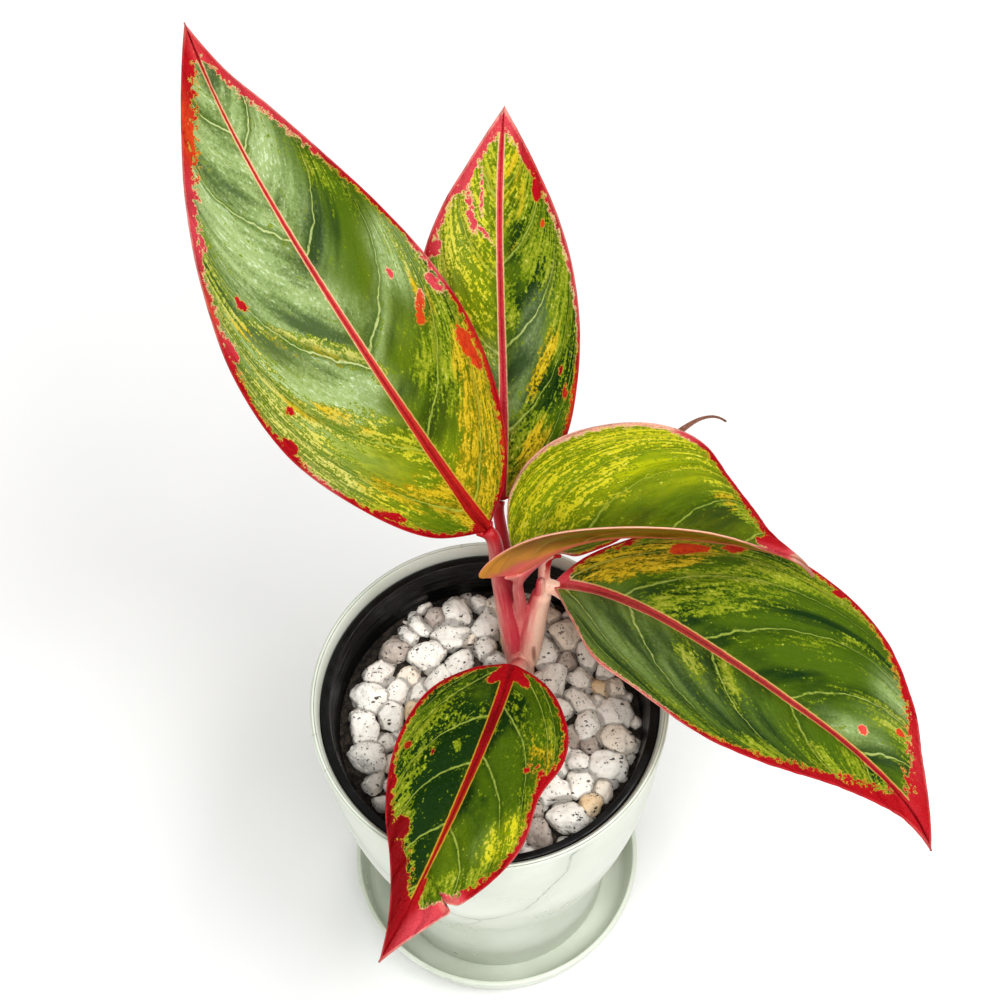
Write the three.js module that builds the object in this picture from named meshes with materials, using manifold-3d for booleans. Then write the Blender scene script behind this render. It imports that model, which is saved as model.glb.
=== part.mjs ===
// Potted Chinese evergreen (Aglaonema): six red-edged leaves on one branching stem, rooted in mix
// under a bed of pumice in a black grower's pot, inside a footed marbled pot on its saucer.
// Millimetres, +Z up. The origin is on the pot's axis, in the plane of the saucer's underside.
import * as THREE from 'three';
import { mergeVertices } from 'three/addons/utils/BufferGeometryUtils.js';
import Module from 'manifold-3d';

const wasm = await Module();
wasm.setup();

// Driving dimensions of the pot, its saucer and what they hold
const POT_HEIGHT = 150;
const RIM_RADIUS = 59.5;
const RIM_DEPTH = 3;
const POT_TOP_RADIUS = 58.3;
const POT_WALL = 1.8;
const SHOULDER_Z = 56;
const SHOULDER_RADIUS = 45.2;
const FOOT_TOP_RADIUS = 42.2;
const FOOT_BASE_RADIUS = 38.9;
const POT_FLOOR_Z = 50;
const SHOULDER_STEP = 1;
const RIM_ROUNDING = 0.6;
const RIM_SPLAY = 1.2;
const DRAIN_RADIUS = 5;
const SAUCER_HEIGHT = 17;
const SAUCER_RIM_RADIUS = 51.4;
const SAUCER_BASE_RADIUS = 44;
const SAUCER_FLOOR_RADIUS = 46.8;
const SAUCER_FLOOR = 3;
const SAUCER_FOOT_CURVE = { out: 3.4, up: 1.2 };
const SAUCER_FLOOR_CURVE = { out: 1.6, up: 1.4 };
const GROWER_RIM_Z = 146;
const GROWER_RIM_RADIUS = 56;
const GROWER_BASE_RADIUS = 39.5;
const GROWER_WALL = 1.4;
const GROWER_LIP = 2.6;
const GROWER_LIP_REACH = 1.4;
const GROWER_LIP_ROUNDING = 0.5;
const GROWER_HOLES = 6;
const GROWER_HOLE_RADIUS = 4;
const GROWER_HOLE_RING = 29.5;
const MIX_TOP_Z = 122;
const MIX_FOOT_INSET = 0.2;
const CLEARANCE = 0.3;
const POT_SIDES = 40;
const WALL_STEPS = 7;
const HOLE_SIDES = 10;
const DRILL_LENGTH = 8;

// The saucer's rim from outside to inside: how far in from its radius and down from its top
const SAUCER_RIM = [[0.7, 2], [0, 1.2], [0.3, 0], [1.6, 0], [1.9, 1.4]];

// Driving dimensions of the stem
const STEM = new THREE.Vector2(11, 20);
const STEM_RADIUS = 4.6;
const STEM_FOOT_Z = 104;
const STEM_TOP_Z = 139;
const STEM_SIDES = 12;
const STEM_HOLE_TOP_Z = 160;
const BRANCH_STEPS = 9;
const BRANCH_SIDES = 10;
const NECK_LENGTH = 5;

// Driving dimensions shared by the blades
const BLADE_THICKNESS = 0.8;
const RIB_HALF_WIDTH = 1.3;
const RIB_DEPTH = 1.2;
const RIB_TAPER = 0.8;
const RIB_LARGEST_SHARE = 0.3;
const BLADE_STEPS = 20;
const ROW_BUNCHING = 1.3;
const NECK_HALF_WIDTH = 1.4;
const TIP_HALF_WIDTH = 0.3;
const ACROSS = [0.36, 0.7, 1];

// Driving dimensions of the pumice
const PUMICE_SEED = 20;
const PUMICE_COUNT = 92;
const PUMICE_SHAKES = 60;
const PUMICE_LARGEST = 7.6;
const PUMICE_SMALLEST = 4.2;
const PUMICE_SPACING = 0.84;
const PUMICE_REACH = 49;
const PUMICE_BED_Z = 130;
const PUMICE_CUTS = 7;
const PUMICE_BALL = [7, 4];
const PUMICE_MOSTLY_SMALL = 1.4;
const PUMICE_STEM_SPACING = 0.8;
const PUMICE_BROAD = 0.92;

// The least and the greatest of what varies from stone to stone
const PUMICE_LIFT = [-0.8, 1.2];
const PUMICE_TILT = [-0.35, 0.35];
const PUMICE_LONG = [1.05, 1.3];
const PUMICE_HIGH = [0.62, 0.82];
const PUMICE_CUT_DEPTH = [0.66, 0.88];

const FINISHES = {
  saucer: { color: 0xe9ebe6, roughness: 0.35 },
  pot: { color: 0xeceeea, roughness: 0.3 },
  grower: { color: 0x141516, roughness: 0.5 },
  mix: { color: 0x3a2a1e, roughness: 0.95 },
  pumice: { color: 0xe6e2d8, roughness: 0.9 },
  stem: { color: 0xe58a8c, roughness: 0.45 },
  leaf: { color: 0x3f6b1d, roughness: 0.4 },
};

const MERGE_WITHIN = 1e-4;

// A blade is drawn flat and then bent. The midrib is a Bezier through space from petiole to tip.
// left and right are its outline: the points [along, out] in mm where eight side rows, from base to
// tip, meet the margin. roll turns the blade about its midrib, fold lifts a half off the flat at
// the midrib and curl bends it on outward, in degrees for every 10 mm: each is given at the base,
// the middle and the tip. wave is the margin's [height in mm, waves, phase in degrees].
const BLADES = {
  leaf_back_left: {
    midrib: [[1, 42, 192], [-23, 66, 223], [-47, 98, 254], [-73, 129, 277], [-88, 172, 296]],
    left: [
      [12, 18.2], [33, 31], [60, 40.7], [88.5, 40.6],
      [115.5, 34], [139.5, 24.5], [158.5, 15.3], [174, 7.8],
    ],
    right: [
      [12, 16.5], [33, 27.7], [58, 33.6], [84.5, 33.8],
      [110, 29], [133, 22.3], [154.5, 14.5], [171.5, 6.7],
    ],
    roll: [5, 5, 5],
    fold: { left: [14, 12, 8], right: [14, 12, 8] },
    curl: -3,
    wave: [0.8, 3.5, 40],
  },
  leaf_back: {
    midrib: [[6, 55.5, 187], [10, 78.5, 209], [8, 103, 230], [8, 126, 254], [12, 149, 277]],
    left: [
      [8, 11.5], [22.5, 20], [40.5, 24.5], [59.5, 26],
      [79.5, 25.5], [97, 19], [110, 11.5], [120.5, 5.5],
    ],
    right: [
      [8, 12.5], [22.5, 21], [40, 24.5], [59.5, 25.5],
      [78.5, 23.5], [96, 18.5], [111, 11.8], [121.5, 5.8],
    ],
    roll: [0, 0, 0],
    fold: { left: [16, 12, 8], right: [16, 12, 8] },
    curl: -3,
    wave: [0.8, 3, 200],
  },
  leaf_right_folded: {
    midrib: [[11, 28, 188], [38, 32, 220], [49, 22, 219], [101, 37, 190], [107, 27, 179]],
    left: [
      [8.5, 21.5], [22.5, 32.5], [38, 36], [54, 35.8],
      [67.5, 31.3], [77, 21.7], [86, 13], [96, 5],
    ],
    right: [
      [0.5, 19], [22, 26.5], [41, 32.5], [57, 31.5],
      [71, 25], [82, 14.5], [92, 7], [102, 2],
    ],
    roll: [17, 17, 17],
    fold: { left: [42, 42, 30], right: [58, 53, 49, 30] },
    curl: -1,
    wave: [0.4, 2.5, 0],
  },
  leaf_right_low: {
    midrib: [[23, 32.8, 168], [62, 26, 175], [82, -14, 175], [128, -23, 165], [141, -57, 146]],
    left: [
      [9.5, 12], [28, 28], [52, 39.5], [77.5, 41.5],
      [101, 36], [119, 25], [131.5, 13.8], [143, 6.2],
    ],
    right: [
      [10, 15], [28, 29], [49.5, 32.5], [72.5, 32],
      [93.5, 26.6], [112, 17.7], [128.5, 10], [142, 3.8],
    ],
    roll: [0, 0, 0],
    fold: { left: [16, 14, 10], right: [26, 24, 16] },
    curl: -3,
    wave: [0.8, 3, 120],
  },
  leaf_front: {
    midrib: [[8, 10, 156], [1, -16, 162], [-11, -42, 166], [-23, -68, 159], [-38, -88, 146]],
    left: [
      [7.5, 14.5], [20, 24.5], [31, 27.3], [44.5, 24.3],
      [60, 25.6], [74, 21], [88, 12.8], [101, 5],
    ],
    right: [
      [7, 13], [20.5, 23], [36.5, 26.5], [52.5, 25],
      [67.5, 20], [79.5, 13], [90, 7.5], [100, 3.5],
    ],
    roll: [0, 0, 0],
    fold: { left: [12, 10, 8], right: [12, 10, 8] },
    curl: -3,
    wave: [0.6, 3, 300],
  },
  leaf_behind: {
    midrib: [[23, 41, 177], [31, 45, 188], [44, 49, 209], [52, 50, 206], [69, 82, 207], [81, 75, 199]],
    left: [
      [4, 4], [9, 8.5], [18, 12.5], [28, 14],
      [38, 11], [48, 6], [58, 2.5], [70, 1],
    ],
    right: [
      [4, 4.5], [9, 9], [18, 13], [27, 15.5],
      [38, 14], [49, 8.5], [59, 3.5], [70, 1],
    ],
    roll: [0, 0, 0],
    fold: { left: [12, 12, 12], right: [12, 12, 12] },
    curl: -3,
    wave: [0.4, 2, 0],
  },
};

// The stem's branches: [x, y, z] along each one, all rooted inside the short upright stem, with the
// radius at its two ends. A branch that carries a blade ends at that blade's neck.
const BRANCHES = [
  {
    blade: 'leaf_back_left',
    path: [[10, 20.5, 135], [7.6, 27, 149], [6.1, 32, 160], [4.8, 35.5, 171]],
    radii: [3.8, 2.2],
  },
  {
    blade: 'leaf_back',
    path: [[11, 22, 137], [10.4, 29, 149], [8.8, 35.5, 159], [7.6, 43, 170]],
    radii: [2.6, 1.8],
  },
  {
    blade: 'leaf_right_folded',
    path: [[12, 22, 138], [11.6, 28, 151], [11.5, 29.5, 164]],
    radii: [2.6, 1.6],
  },
  {
    blade: 'leaf_right_low',
    path: [[16.5, 28.5, 156], [18.8, 31, 163]],
    radii: [2.6, 1.9],
  },
  {
    blade: 'leaf_front',
    path: [[10.8, 18.5, 138], [9.6, 14.8, 147]],
    radii: [3, 1.9],
  },
  {
    blade: 'leaf_behind',
    path: [[16.5, 29, 157], [19, 32.5, 165]],
    radii: [1.8, 2.3],
  },
  {
    path: [[12.2, 20.3, 137.5], [14.3, 23.5, 143], [16.2, 27.7, 153], [17.7, 30.5, 160], [19, 32, 166]],
    radii: [4.4, 3.5],
  },
  {
    path: [[17.5, 29.8, 161], [18, 31.6, 167], [18.4, 33.4, 172]],
    radii: [2.2, 1.3],
  },
];

function named(name, geometry, finish) {
  const mesh = new THREE.Mesh(geometry, new THREE.MeshStandardMaterial({ ...finish, metalness: 0 }));
  mesh.name = name;
  return mesh;
}

// Solids, for the joins and cuts
function solidFrom(geometry) {
  const bare = geometry.clone();
  bare.deleteAttribute('normal');
  bare.deleteAttribute('uv');
  const merged = mergeVertices(bare, MERGE_WITHIN);
  return new wasm.Manifold(
    new wasm.Mesh({
      numProp: 3,
      vertProperties: merged.attributes.position.array,
      triVerts: new Uint32Array(merged.index.array),
    }),
  );
}

function geometryFrom(solid) {
  const mesh = solid.getMesh();
  const geometry = new THREE.BufferGeometry();
  geometry.setAttribute('position', new THREE.BufferAttribute(mesh.vertProperties, 3));
  geometry.setIndex(new THREE.BufferAttribute(mesh.triVerts, 1));
  return geometry;
}

function meshFrom(points, triangles) {
  const geometry = new THREE.BufferGeometry();
  const numbers = points.flatMap((p) => [p.x, p.y, p.z]);
  geometry.setAttribute('position', new THREE.Float32BufferAttribute(numbers, 3));
  geometry.setIndex(triangles);
  return geometry;
}

// Turned pieces: a profile of [radius, z] points, closed on itself, spun about the Z axis
function turned(profile) {
  const points = [...profile, profile[0]].map(([r, z]) => new THREE.Vector2(r, z));
  return new THREE.LatheGeometry(points, POT_SIDES).rotateX(Math.PI / 2);
}

// An upright cylinder, centred on the origin
function upright(radius, height, sides) {
  return new THREE.CylinderGeometry(radius, radius, height, sides).rotateX(Math.PI / 2);
}

function potRadius(z) {
  const rise = (z - SHOULDER_Z) / (POT_HEIGHT - SHOULDER_Z);
  return SHOULDER_RADIUS + (POT_TOP_RADIUS - SHOULDER_RADIUS) * (1 - (1 - rise) ** 2);
}

function outerPot() {
  const footZ = SAUCER_FLOOR + CLEARANCE;
  const lipZ = POT_HEIGHT - RIM_DEPTH;
  const profile = [
    [DRAIN_RADIUS, POT_FLOOR_Z - POT_WALL],
    [FOOT_TOP_RADIUS - POT_WALL, POT_FLOOR_Z - POT_WALL],
    [FOOT_BASE_RADIUS - POT_WALL, footZ],
    [FOOT_BASE_RADIUS, footZ],
    [FOOT_TOP_RADIUS, SHOULDER_Z - SHOULDER_STEP],
    [SHOULDER_RADIUS - SHOULDER_STEP, SHOULDER_Z - RIM_ROUNDING],
  ];
  for (let i = 0; i <= WALL_STEPS; i++) {
    const z = SHOULDER_Z + (lipZ - SHOULDER_Z) * (i / WALL_STEPS);
    profile.push([potRadius(z), z]);
  }
  profile.push([RIM_RADIUS, lipZ + RIM_ROUNDING]);
  profile.push([RIM_RADIUS, POT_HEIGHT - RIM_ROUNDING]);
  profile.push([RIM_RADIUS - RIM_ROUNDING, POT_HEIGHT]);
  profile.push([POT_TOP_RADIUS - POT_WALL + RIM_SPLAY, POT_HEIGHT]);
  for (let i = WALL_STEPS; i >= 0; i--) {
    const z = SHOULDER_Z + (lipZ - SHOULDER_Z) * (i / WALL_STEPS);
    profile.push([potRadius(z) - POT_WALL, z]);
  }
  profile.push([FOOT_TOP_RADIUS - POT_WALL, POT_FLOOR_Z]);
  profile.push([DRAIN_RADIUS, POT_FLOOR_Z]);
  return turned(profile);
}

function saucer() {
  return turned([
    [0, 0],
    [SAUCER_BASE_RADIUS, 0],
    [SAUCER_BASE_RADIUS + SAUCER_FOOT_CURVE.out, SAUCER_FOOT_CURVE.up],
    ...SAUCER_RIM.map(([inward, down]) => [SAUCER_RIM_RADIUS - inward, SAUCER_HEIGHT - down]),
    [SAUCER_FLOOR_RADIUS, SAUCER_FLOOR + SAUCER_FLOOR_CURVE.up],
    [SAUCER_FLOOR_RADIUS - SAUCER_FLOOR_CURVE.out, SAUCER_FLOOR],
    [0, SAUCER_FLOOR],
  ]);
}

const growerFloorZ = POT_FLOOR_Z + CLEARANCE;

function growerRadius(z) {
  const rise = (z - growerFloorZ) / (GROWER_RIM_Z - growerFloorZ);
  return GROWER_BASE_RADIUS + (GROWER_RIM_RADIUS - GROWER_LIP_REACH - GROWER_BASE_RADIUS) * rise;
}

function growerPot() {
  const lipZ = GROWER_RIM_Z - GROWER_LIP;
  let pot = solidFrom(
    turned([
      [0, growerFloorZ],
      [GROWER_BASE_RADIUS, growerFloorZ],
      [growerRadius(lipZ), lipZ],
      [GROWER_RIM_RADIUS, lipZ + GROWER_LIP_ROUNDING],
      [GROWER_RIM_RADIUS, GROWER_RIM_Z - GROWER_LIP_ROUNDING],
      [GROWER_RIM_RADIUS - GROWER_LIP_ROUNDING, GROWER_RIM_Z],
      [growerRadius(GROWER_RIM_Z) - GROWER_WALL, GROWER_RIM_Z],
      [growerRadius(growerFloorZ + GROWER_WALL) - GROWER_WALL, growerFloorZ + GROWER_WALL],
      [0, growerFloorZ + GROWER_WALL],
    ]),
  );
  for (let i = 0; i < GROWER_HOLES; i++) {
    const angle = (2 * Math.PI * i) / GROWER_HOLES;
    const [x, y] = [GROWER_HOLE_RING * Math.cos(angle), GROWER_HOLE_RING * Math.sin(angle)];
    const drill = upright(GROWER_HOLE_RADIUS, DRILL_LENGTH, HOLE_SIDES);
    pot = pot.subtract(solidFrom(drill.translate(x, y, growerFloorZ)));
  }
  return geometryFrom(pot);
}

// The plain hole that the stem stands in, through the mix and the pumice
function stemHole() {
  const radius = STEM_RADIUS + CLEARANCE / Math.cos(Math.PI / STEM_SIDES);
  const bottom = STEM_FOOT_Z - CLEARANCE;
  const hole = upright(radius, STEM_HOLE_TOP_Z - bottom, STEM_SIDES);
  return solidFrom(hole.translate(STEM.x, STEM.y, (STEM_HOLE_TOP_Z + bottom) / 2));
}

function innerRadius(z) {
  return growerRadius(z) - GROWER_WALL - CLEARANCE;
}

function pottingMix() {
  const bottom = growerFloorZ + GROWER_WALL + CLEARANCE;
  const plug = turned([
    [0, bottom],
    [innerRadius(bottom) - MIX_FOOT_INSET, bottom],
    [innerRadius(MIX_TOP_Z), MIX_TOP_Z],
    [0, MIX_TOP_Z],
  ]);
  return geometryFrom(solidFrom(plug).subtract(stemHole()));
}

// Seeded random draws
function randomFrom(seed) {
  let state = seed;
  return () => {
    state = (state + 0x6d2b79f5) | 0;
    let t = Math.imul(state ^ (state >>> 15), 1 | state);
    t = (t + Math.imul(t ^ (t >>> 7), 61 | t)) ^ t;
    return ((t ^ (t >>> 14)) >>> 0) / 4294967296;
  };
}

function between([least, greatest], random) {
  return least + (greatest - least) * random();
}

// Where the pumice stones lie: dropped at random, then shaken apart until they fit side by side
function pumiceStones() {
  const random = randomFrom(PUMICE_SEED);
  const stones = [];
  for (let i = 0; i < PUMICE_COUNT; i++) {
    const size = PUMICE_SMALLEST + (PUMICE_LARGEST - PUMICE_SMALLEST) * random() ** PUMICE_MOSTLY_SMALL;
    const away = Math.sqrt(random()) * PUMICE_REACH;
    const angle = random() * 2 * Math.PI;
    stones.push({ size, x: away * Math.cos(angle), y: away * Math.sin(angle) });
  }
  for (let pass = 0; pass < PUMICE_SHAKES; pass++) shake(stones);
  for (const stone of stones) {
    stone.lift = between(PUMICE_LIFT, random);
    stone.turn = random() * 2 * Math.PI;
    stone.tilt = between(PUMICE_TILT, random);
    stone.long = between(PUMICE_LONG, random);
    stone.high = between(PUMICE_HIGH, random);
    stone.cuts = [];
    for (let i = 0; i < PUMICE_CUTS; i++) {
      const height = 2 * random() - 1;
      const around = random() * 2 * Math.PI;
      const flat = Math.sqrt(1 - height * height);
      const normal = new THREE.Vector3(flat * Math.cos(around), flat * Math.sin(around), height);
      stone.cuts.push({ normal, depth: between(PUMICE_CUT_DEPTH, random) });
    }
  }
  return stones;
}

// Moves a stone away from (x, y) until it is at least this far off, or by a share of the way
function pushOff(stone, x, y, distance, share) {
  const dx = stone.x - x;
  const dy = stone.y - y;
  const now = Math.sqrt(dx * dx + dy * dy);
  if (now >= distance || now === 0) return;
  const step = (share * (distance - now)) / now;
  stone.x += dx * step;
  stone.y += dy * step;
}

function shake(stones) {
  for (const stone of stones) {
    for (const other of stones) {
      const distance = PUMICE_SPACING * (stone.size + other.size);
      if (other !== stone) pushOff(stone, other.x, other.y, distance, 0.5);
    }
    pushOff(stone, STEM.x, STEM.y, STEM_RADIUS + PUMICE_STEM_SPACING * stone.size, 1);
    const away = Math.sqrt(stone.x * stone.x + stone.y * stone.y);
    const inside = Math.min(1, (PUMICE_REACH - stone.size) / away);
    stone.x *= inside;
    stone.y *= inside;
  }
}

// One chip: a ball with flats knocked off it, flattened, turned and set on the bed
function pumiceChip(stone) {
  const bare = new THREE.SphereGeometry(1, ...PUMICE_BALL).deleteAttribute('normal');
  const ball = mergeVertices(bare.deleteAttribute('uv'));
  const at = ball.attributes.position;
  const turn = new THREE.Euler(stone.tilt, 0, stone.turn, 'ZYX');
  const place = new THREE.Matrix4().makeRotationFromEuler(turn);
  const scale = new THREE.Vector3(stone.long, PUMICE_BROAD, stone.high).multiplyScalar(stone.size);
  place.scale(scale);
  place.setPosition(stone.x, stone.y, PUMICE_BED_Z + stone.lift);
  const point = new THREE.Vector3();
  for (let i = 0; i < at.count; i++) {
    point.fromBufferAttribute(at, i).normalize();
    const facing = stone.cuts.map(({ normal, depth }) => depth / Math.max(point.dot(normal), 1e-3));
    point.multiplyScalar(Math.min(1, ...facing));
    point.applyMatrix4(place);
    at.setXYZ(i, point.x, point.y, point.z);
  }
  return ball;
}

function pumice() {
  const bottom = MIX_TOP_Z + CLEARANCE;
  const bed = turned([
    [0, bottom],
    [innerRadius(bottom), bottom],
    [innerRadius(PUMICE_BED_Z), PUMICE_BED_Z],
    [0, PUMICE_BED_Z],
  ]);
  let heap = solidFrom(bed);
  for (const stone of pumiceStones()) heap = heap.add(solidFrom(pumiceChip(stone)));
  const [filled] = heap.decompose().sort((a, b) => b.volume() - a.volume());
  return geometryFrom(filled.subtract(stemHole()));
}

// Value at t of the Bezier whose control values are numbers or [x, y, z] points
function bezier(values, t) {
  let row = values.map((v) => (Array.isArray(v) ? new THREE.Vector3(...v) : v));
  while (row.length > 1) {
    const next = [];
    for (let i = 0; i + 1 < row.length; i++) {
      const [a, b] = [row[i], row[i + 1]];
      next.push(a.isVector3 ? a.clone().lerp(b, t) : a + (b - a) * t);
    }
    row = next;
  }
  return row[0];
}

class Midrib extends THREE.Curve {
  constructor(points) {
    super();
    this.points = points;
  }

  getPoint(t) {
    return bezier(this.points, t);
  }
}

// Bends a flat blade into space: along is measured on the midrib and out to its right
class Blade {
  constructor(shape) {
    this.shape = shape;
    this.midrib = new Midrib(shape.midrib);
    this.length = this.midrib.getLength();
    const outline = (side) => {
      const points = [[0, NECK_HALF_WIDTH], ...side, [this.length, 0]];
      return new THREE.SplineCurve(points.map(([along, out]) => new THREE.Vector2(along, out)));
    };
    this.outline = { left: outline(shape.left), right: outline(shape.right) };
    this.broadest = Math.max(...shape.left.map((p) => p[1]), ...shape.right.map((p) => p[1]));
  }

  // The blade's point at (along, out), moved off its middle surface by lift
  at(along, out, lift) {
    const u = THREE.MathUtils.clamp(along / this.length, 0, 1);
    const tangent = this.midrib.getTangentAt(u);
    const point = this.midrib.getPointAt(u).addScaledVector(tangent, along - u * this.length);
    const level = new THREE.Vector3().crossVectors(tangent, new THREE.Vector3(0, 0, 1)).normalize();
    const roll = THREE.MathUtils.degToRad(bezier(this.shape.roll, u));
    const right = level.applyAxisAngle(tangent, -roll);
    const up = new THREE.Vector3().crossVectors(right, tangent);
    const folds = out < 0 ? this.shape.fold.left : this.shape.fold.right;
    const fold = THREE.MathUtils.degToRad(bezier(folds, u));
    const bend = THREE.MathUtils.degToRad(this.shape.curl) / 10;
    const angle = out === 0 ? 0 : fold + bend * Math.abs(out);
    const side = Math.sign(out);
    const reach = (Math.sin(fold + bend * Math.abs(out)) - Math.sin(fold)) / bend;
    const rise = (Math.cos(fold) - Math.cos(fold + bend * Math.abs(out))) / bend;
    const [height, waves, phase] = this.shape.wave;
    const turn = 2 * Math.PI * waves * u + THREE.MathUtils.degToRad(phase);
    const off = lift + height * (out / this.broadest) ** 2 * Math.sin(turn);
    point.addScaledVector(right, side * (reach - Math.sin(angle) * off));
    return point.addScaledVector(up, rise + Math.cos(angle) * off);
  }

  // One row of flat points, from the left margin to the right one, at t from base to tip
  row(t) {
    const start = new THREE.Vector2(this.length * t ** ROW_BUNCHING, 0);
    const half = (side) => {
      const edge = this.outline[side].getPoint(t);
      edge.y = Math.max(edge.y, TIP_HALF_WIDTH);
      const rib = Math.min(RIB_HALF_WIDTH / edge.y, RIB_LARGEST_SHARE);
      return [rib, ...ACROSS].map((s) => start.clone().lerp(edge, s));
    };
    const left = half('left').reverse();
    left.forEach((p) => (p.y *= -1));
    return [...left, start, ...half('right')];
  }

  geometry() {
    const upper = [];
    const lower = [];
    for (let i = 0; i <= BLADE_STEPS; i++) {
      const t = i / BLADE_STEPS;
      for (const p of this.row(t)) {
        const rib = p.y === 0 ? RIB_DEPTH * (1 - RIB_TAPER * t) : 0;
        upper.push(this.at(p.x, p.y, BLADE_THICKNESS / 2));
        lower.push(this.at(p.x, p.y, -BLADE_THICKNESS / 2 - rib));
      }
    }
    return meshFrom([...upper, ...lower], sheetTriangles(BLADE_STEPS + 1, upper.length));
  }
}

// Triangles of a closed sheet: an upper grid of points, the same grid below it, and its edge
function sheetTriangles(rows, count) {
  const columns = count / rows;
  const triangles = [];
  const upper = (i, j) => i * columns + j;
  const lower = (i, j) => count + i * columns + j;
  const quad = (a, b, c, d) => triangles.push(a, b, c, a, c, d);
  const last = columns - 1;
  for (let i = 0; i + 1 < rows; i++) {
    for (let j = 0; j < last; j++) {
      quad(upper(i, j), upper(i, j + 1), upper(i + 1, j + 1), upper(i + 1, j));
      quad(lower(i + 1, j + 1), lower(i, j + 1), lower(i, j), lower(i + 1, j));
    }
    quad(upper(i, 0), upper(i + 1, 0), lower(i + 1, 0), lower(i, 0));
    quad(upper(i, last), lower(i, last), lower(i + 1, last), upper(i + 1, last));
  }
  const end = rows - 1;
  for (let j = 0; j < last; j++) {
    quad(upper(0, j), lower(0, j), lower(0, j + 1), upper(0, j + 1));
    quad(upper(end, j), upper(end, j + 1), lower(end, j + 1), lower(end, j));
  }
  return triangles;
}

// A round branch along a smooth path, tapering between its two end radii
function branch(path, [startRadius, endRadius]) {
  const steps = BRANCH_STEPS;
  const sides = BRANCH_SIDES;
  const curve = new THREE.CatmullRomCurve3(path);
  const frames = curve.computeFrenetFrames(steps);
  const points = [];
  const triangles = [];
  for (let i = 0; i <= steps; i++) {
    const centre = curve.getPointAt(i / steps);
    const radius = startRadius + (endRadius - startRadius) * (i / steps);
    for (let j = 0; j < sides; j++) {
      const angle = (2 * Math.PI * j) / sides;
      const out = frames.normals[i].clone().multiplyScalar(Math.cos(angle));
      out.addScaledVector(frames.binormals[i], Math.sin(angle));
      points.push(centre.clone().addScaledVector(out, radius));
    }
  }
  for (let i = 0; i < steps; i++) {
    for (let j = 0; j < sides; j++) {
      const [a, b] = [i * sides + j, i * sides + ((j + 1) % sides)];
      triangles.push(a, b, b + sides, a, b + sides, a + sides);
    }
  }
  for (let j = 1; j + 1 < sides; j++) {
    const top = steps * sides;
    triangles.push(0, j + 1, j, top, top + j, top + j + 1);
  }
  return meshFrom(points, triangles);
}

// Where a branch meets its blade: just short of the neck, and on its line
function neckOf(name) {
  const midrib = new Midrib(BLADES[name].midrib);
  const along = midrib.getTangent(0);
  const neck = midrib.getPoint(0).addScaledVector(along, -CLEARANCE);
  return [neck.clone().addScaledVector(along, -NECK_LENGTH), neck];
}

function stem() {
  const trunk = upright(STEM_RADIUS, STEM_TOP_Z - STEM_FOOT_Z, STEM_SIDES);
  let whole = solidFrom(trunk.translate(STEM.x, STEM.y, (STEM_TOP_Z + STEM_FOOT_Z) / 2));
  for (const { blade, path, radii } of BRANCHES) {
    const points = path.map((p) => new THREE.Vector3(...p));
    if (blade) points.push(...neckOf(blade));
    whole = whole.add(solidFrom(branch(points, radii)));
  }
  return geometryFrom(whole);
}

const plant = new THREE.Group();
plant.add(named('stem', stem(), FINISHES.stem));
for (const [name, shape] of Object.entries(BLADES)) {
  plant.add(named(name, new Blade(shape).geometry(), FINISHES.leaf));
}

const pot = new THREE.Group();
pot.add(named('saucer', saucer(), FINISHES.saucer));
pot.add(named('outer_pot', outerPot(), FINISHES.pot));
pot.add(named('grower_pot', growerPot(), FINISHES.grower));
pot.add(named('potting_mix', pottingMix(), FINISHES.mix));
pot.add(named('pumice', pumice(), FINISHES.pumice));

const pottedPlant = new THREE.Group();
pottedPlant.add(pot, plant);
export default pottedPlant;
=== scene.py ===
"""Potted Chinese evergreen: the looks of the plant, its pumice, its pots and its saucer."""

import math

import bpy
import numpy as np
from mathutils import Matrix, Vector, noise


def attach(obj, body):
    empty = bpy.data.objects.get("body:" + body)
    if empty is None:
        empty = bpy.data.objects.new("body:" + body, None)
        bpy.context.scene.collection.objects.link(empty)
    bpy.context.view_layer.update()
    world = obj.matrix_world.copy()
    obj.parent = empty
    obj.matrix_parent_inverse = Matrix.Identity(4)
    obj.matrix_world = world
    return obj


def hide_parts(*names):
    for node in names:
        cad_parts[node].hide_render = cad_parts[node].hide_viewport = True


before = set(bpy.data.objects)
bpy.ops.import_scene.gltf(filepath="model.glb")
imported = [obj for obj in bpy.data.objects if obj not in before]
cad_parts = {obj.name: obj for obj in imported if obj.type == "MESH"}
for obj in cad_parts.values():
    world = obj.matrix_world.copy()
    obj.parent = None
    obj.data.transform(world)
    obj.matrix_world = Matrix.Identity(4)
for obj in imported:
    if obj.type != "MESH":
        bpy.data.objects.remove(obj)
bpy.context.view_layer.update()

MM = 0.001

# Blades, as in the CAD, in mm
NECK = 1.4
ROW_BUNCHING = 1.3
THICKNESS = 0.8
LEAST_WIDTH = 0.25

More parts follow.
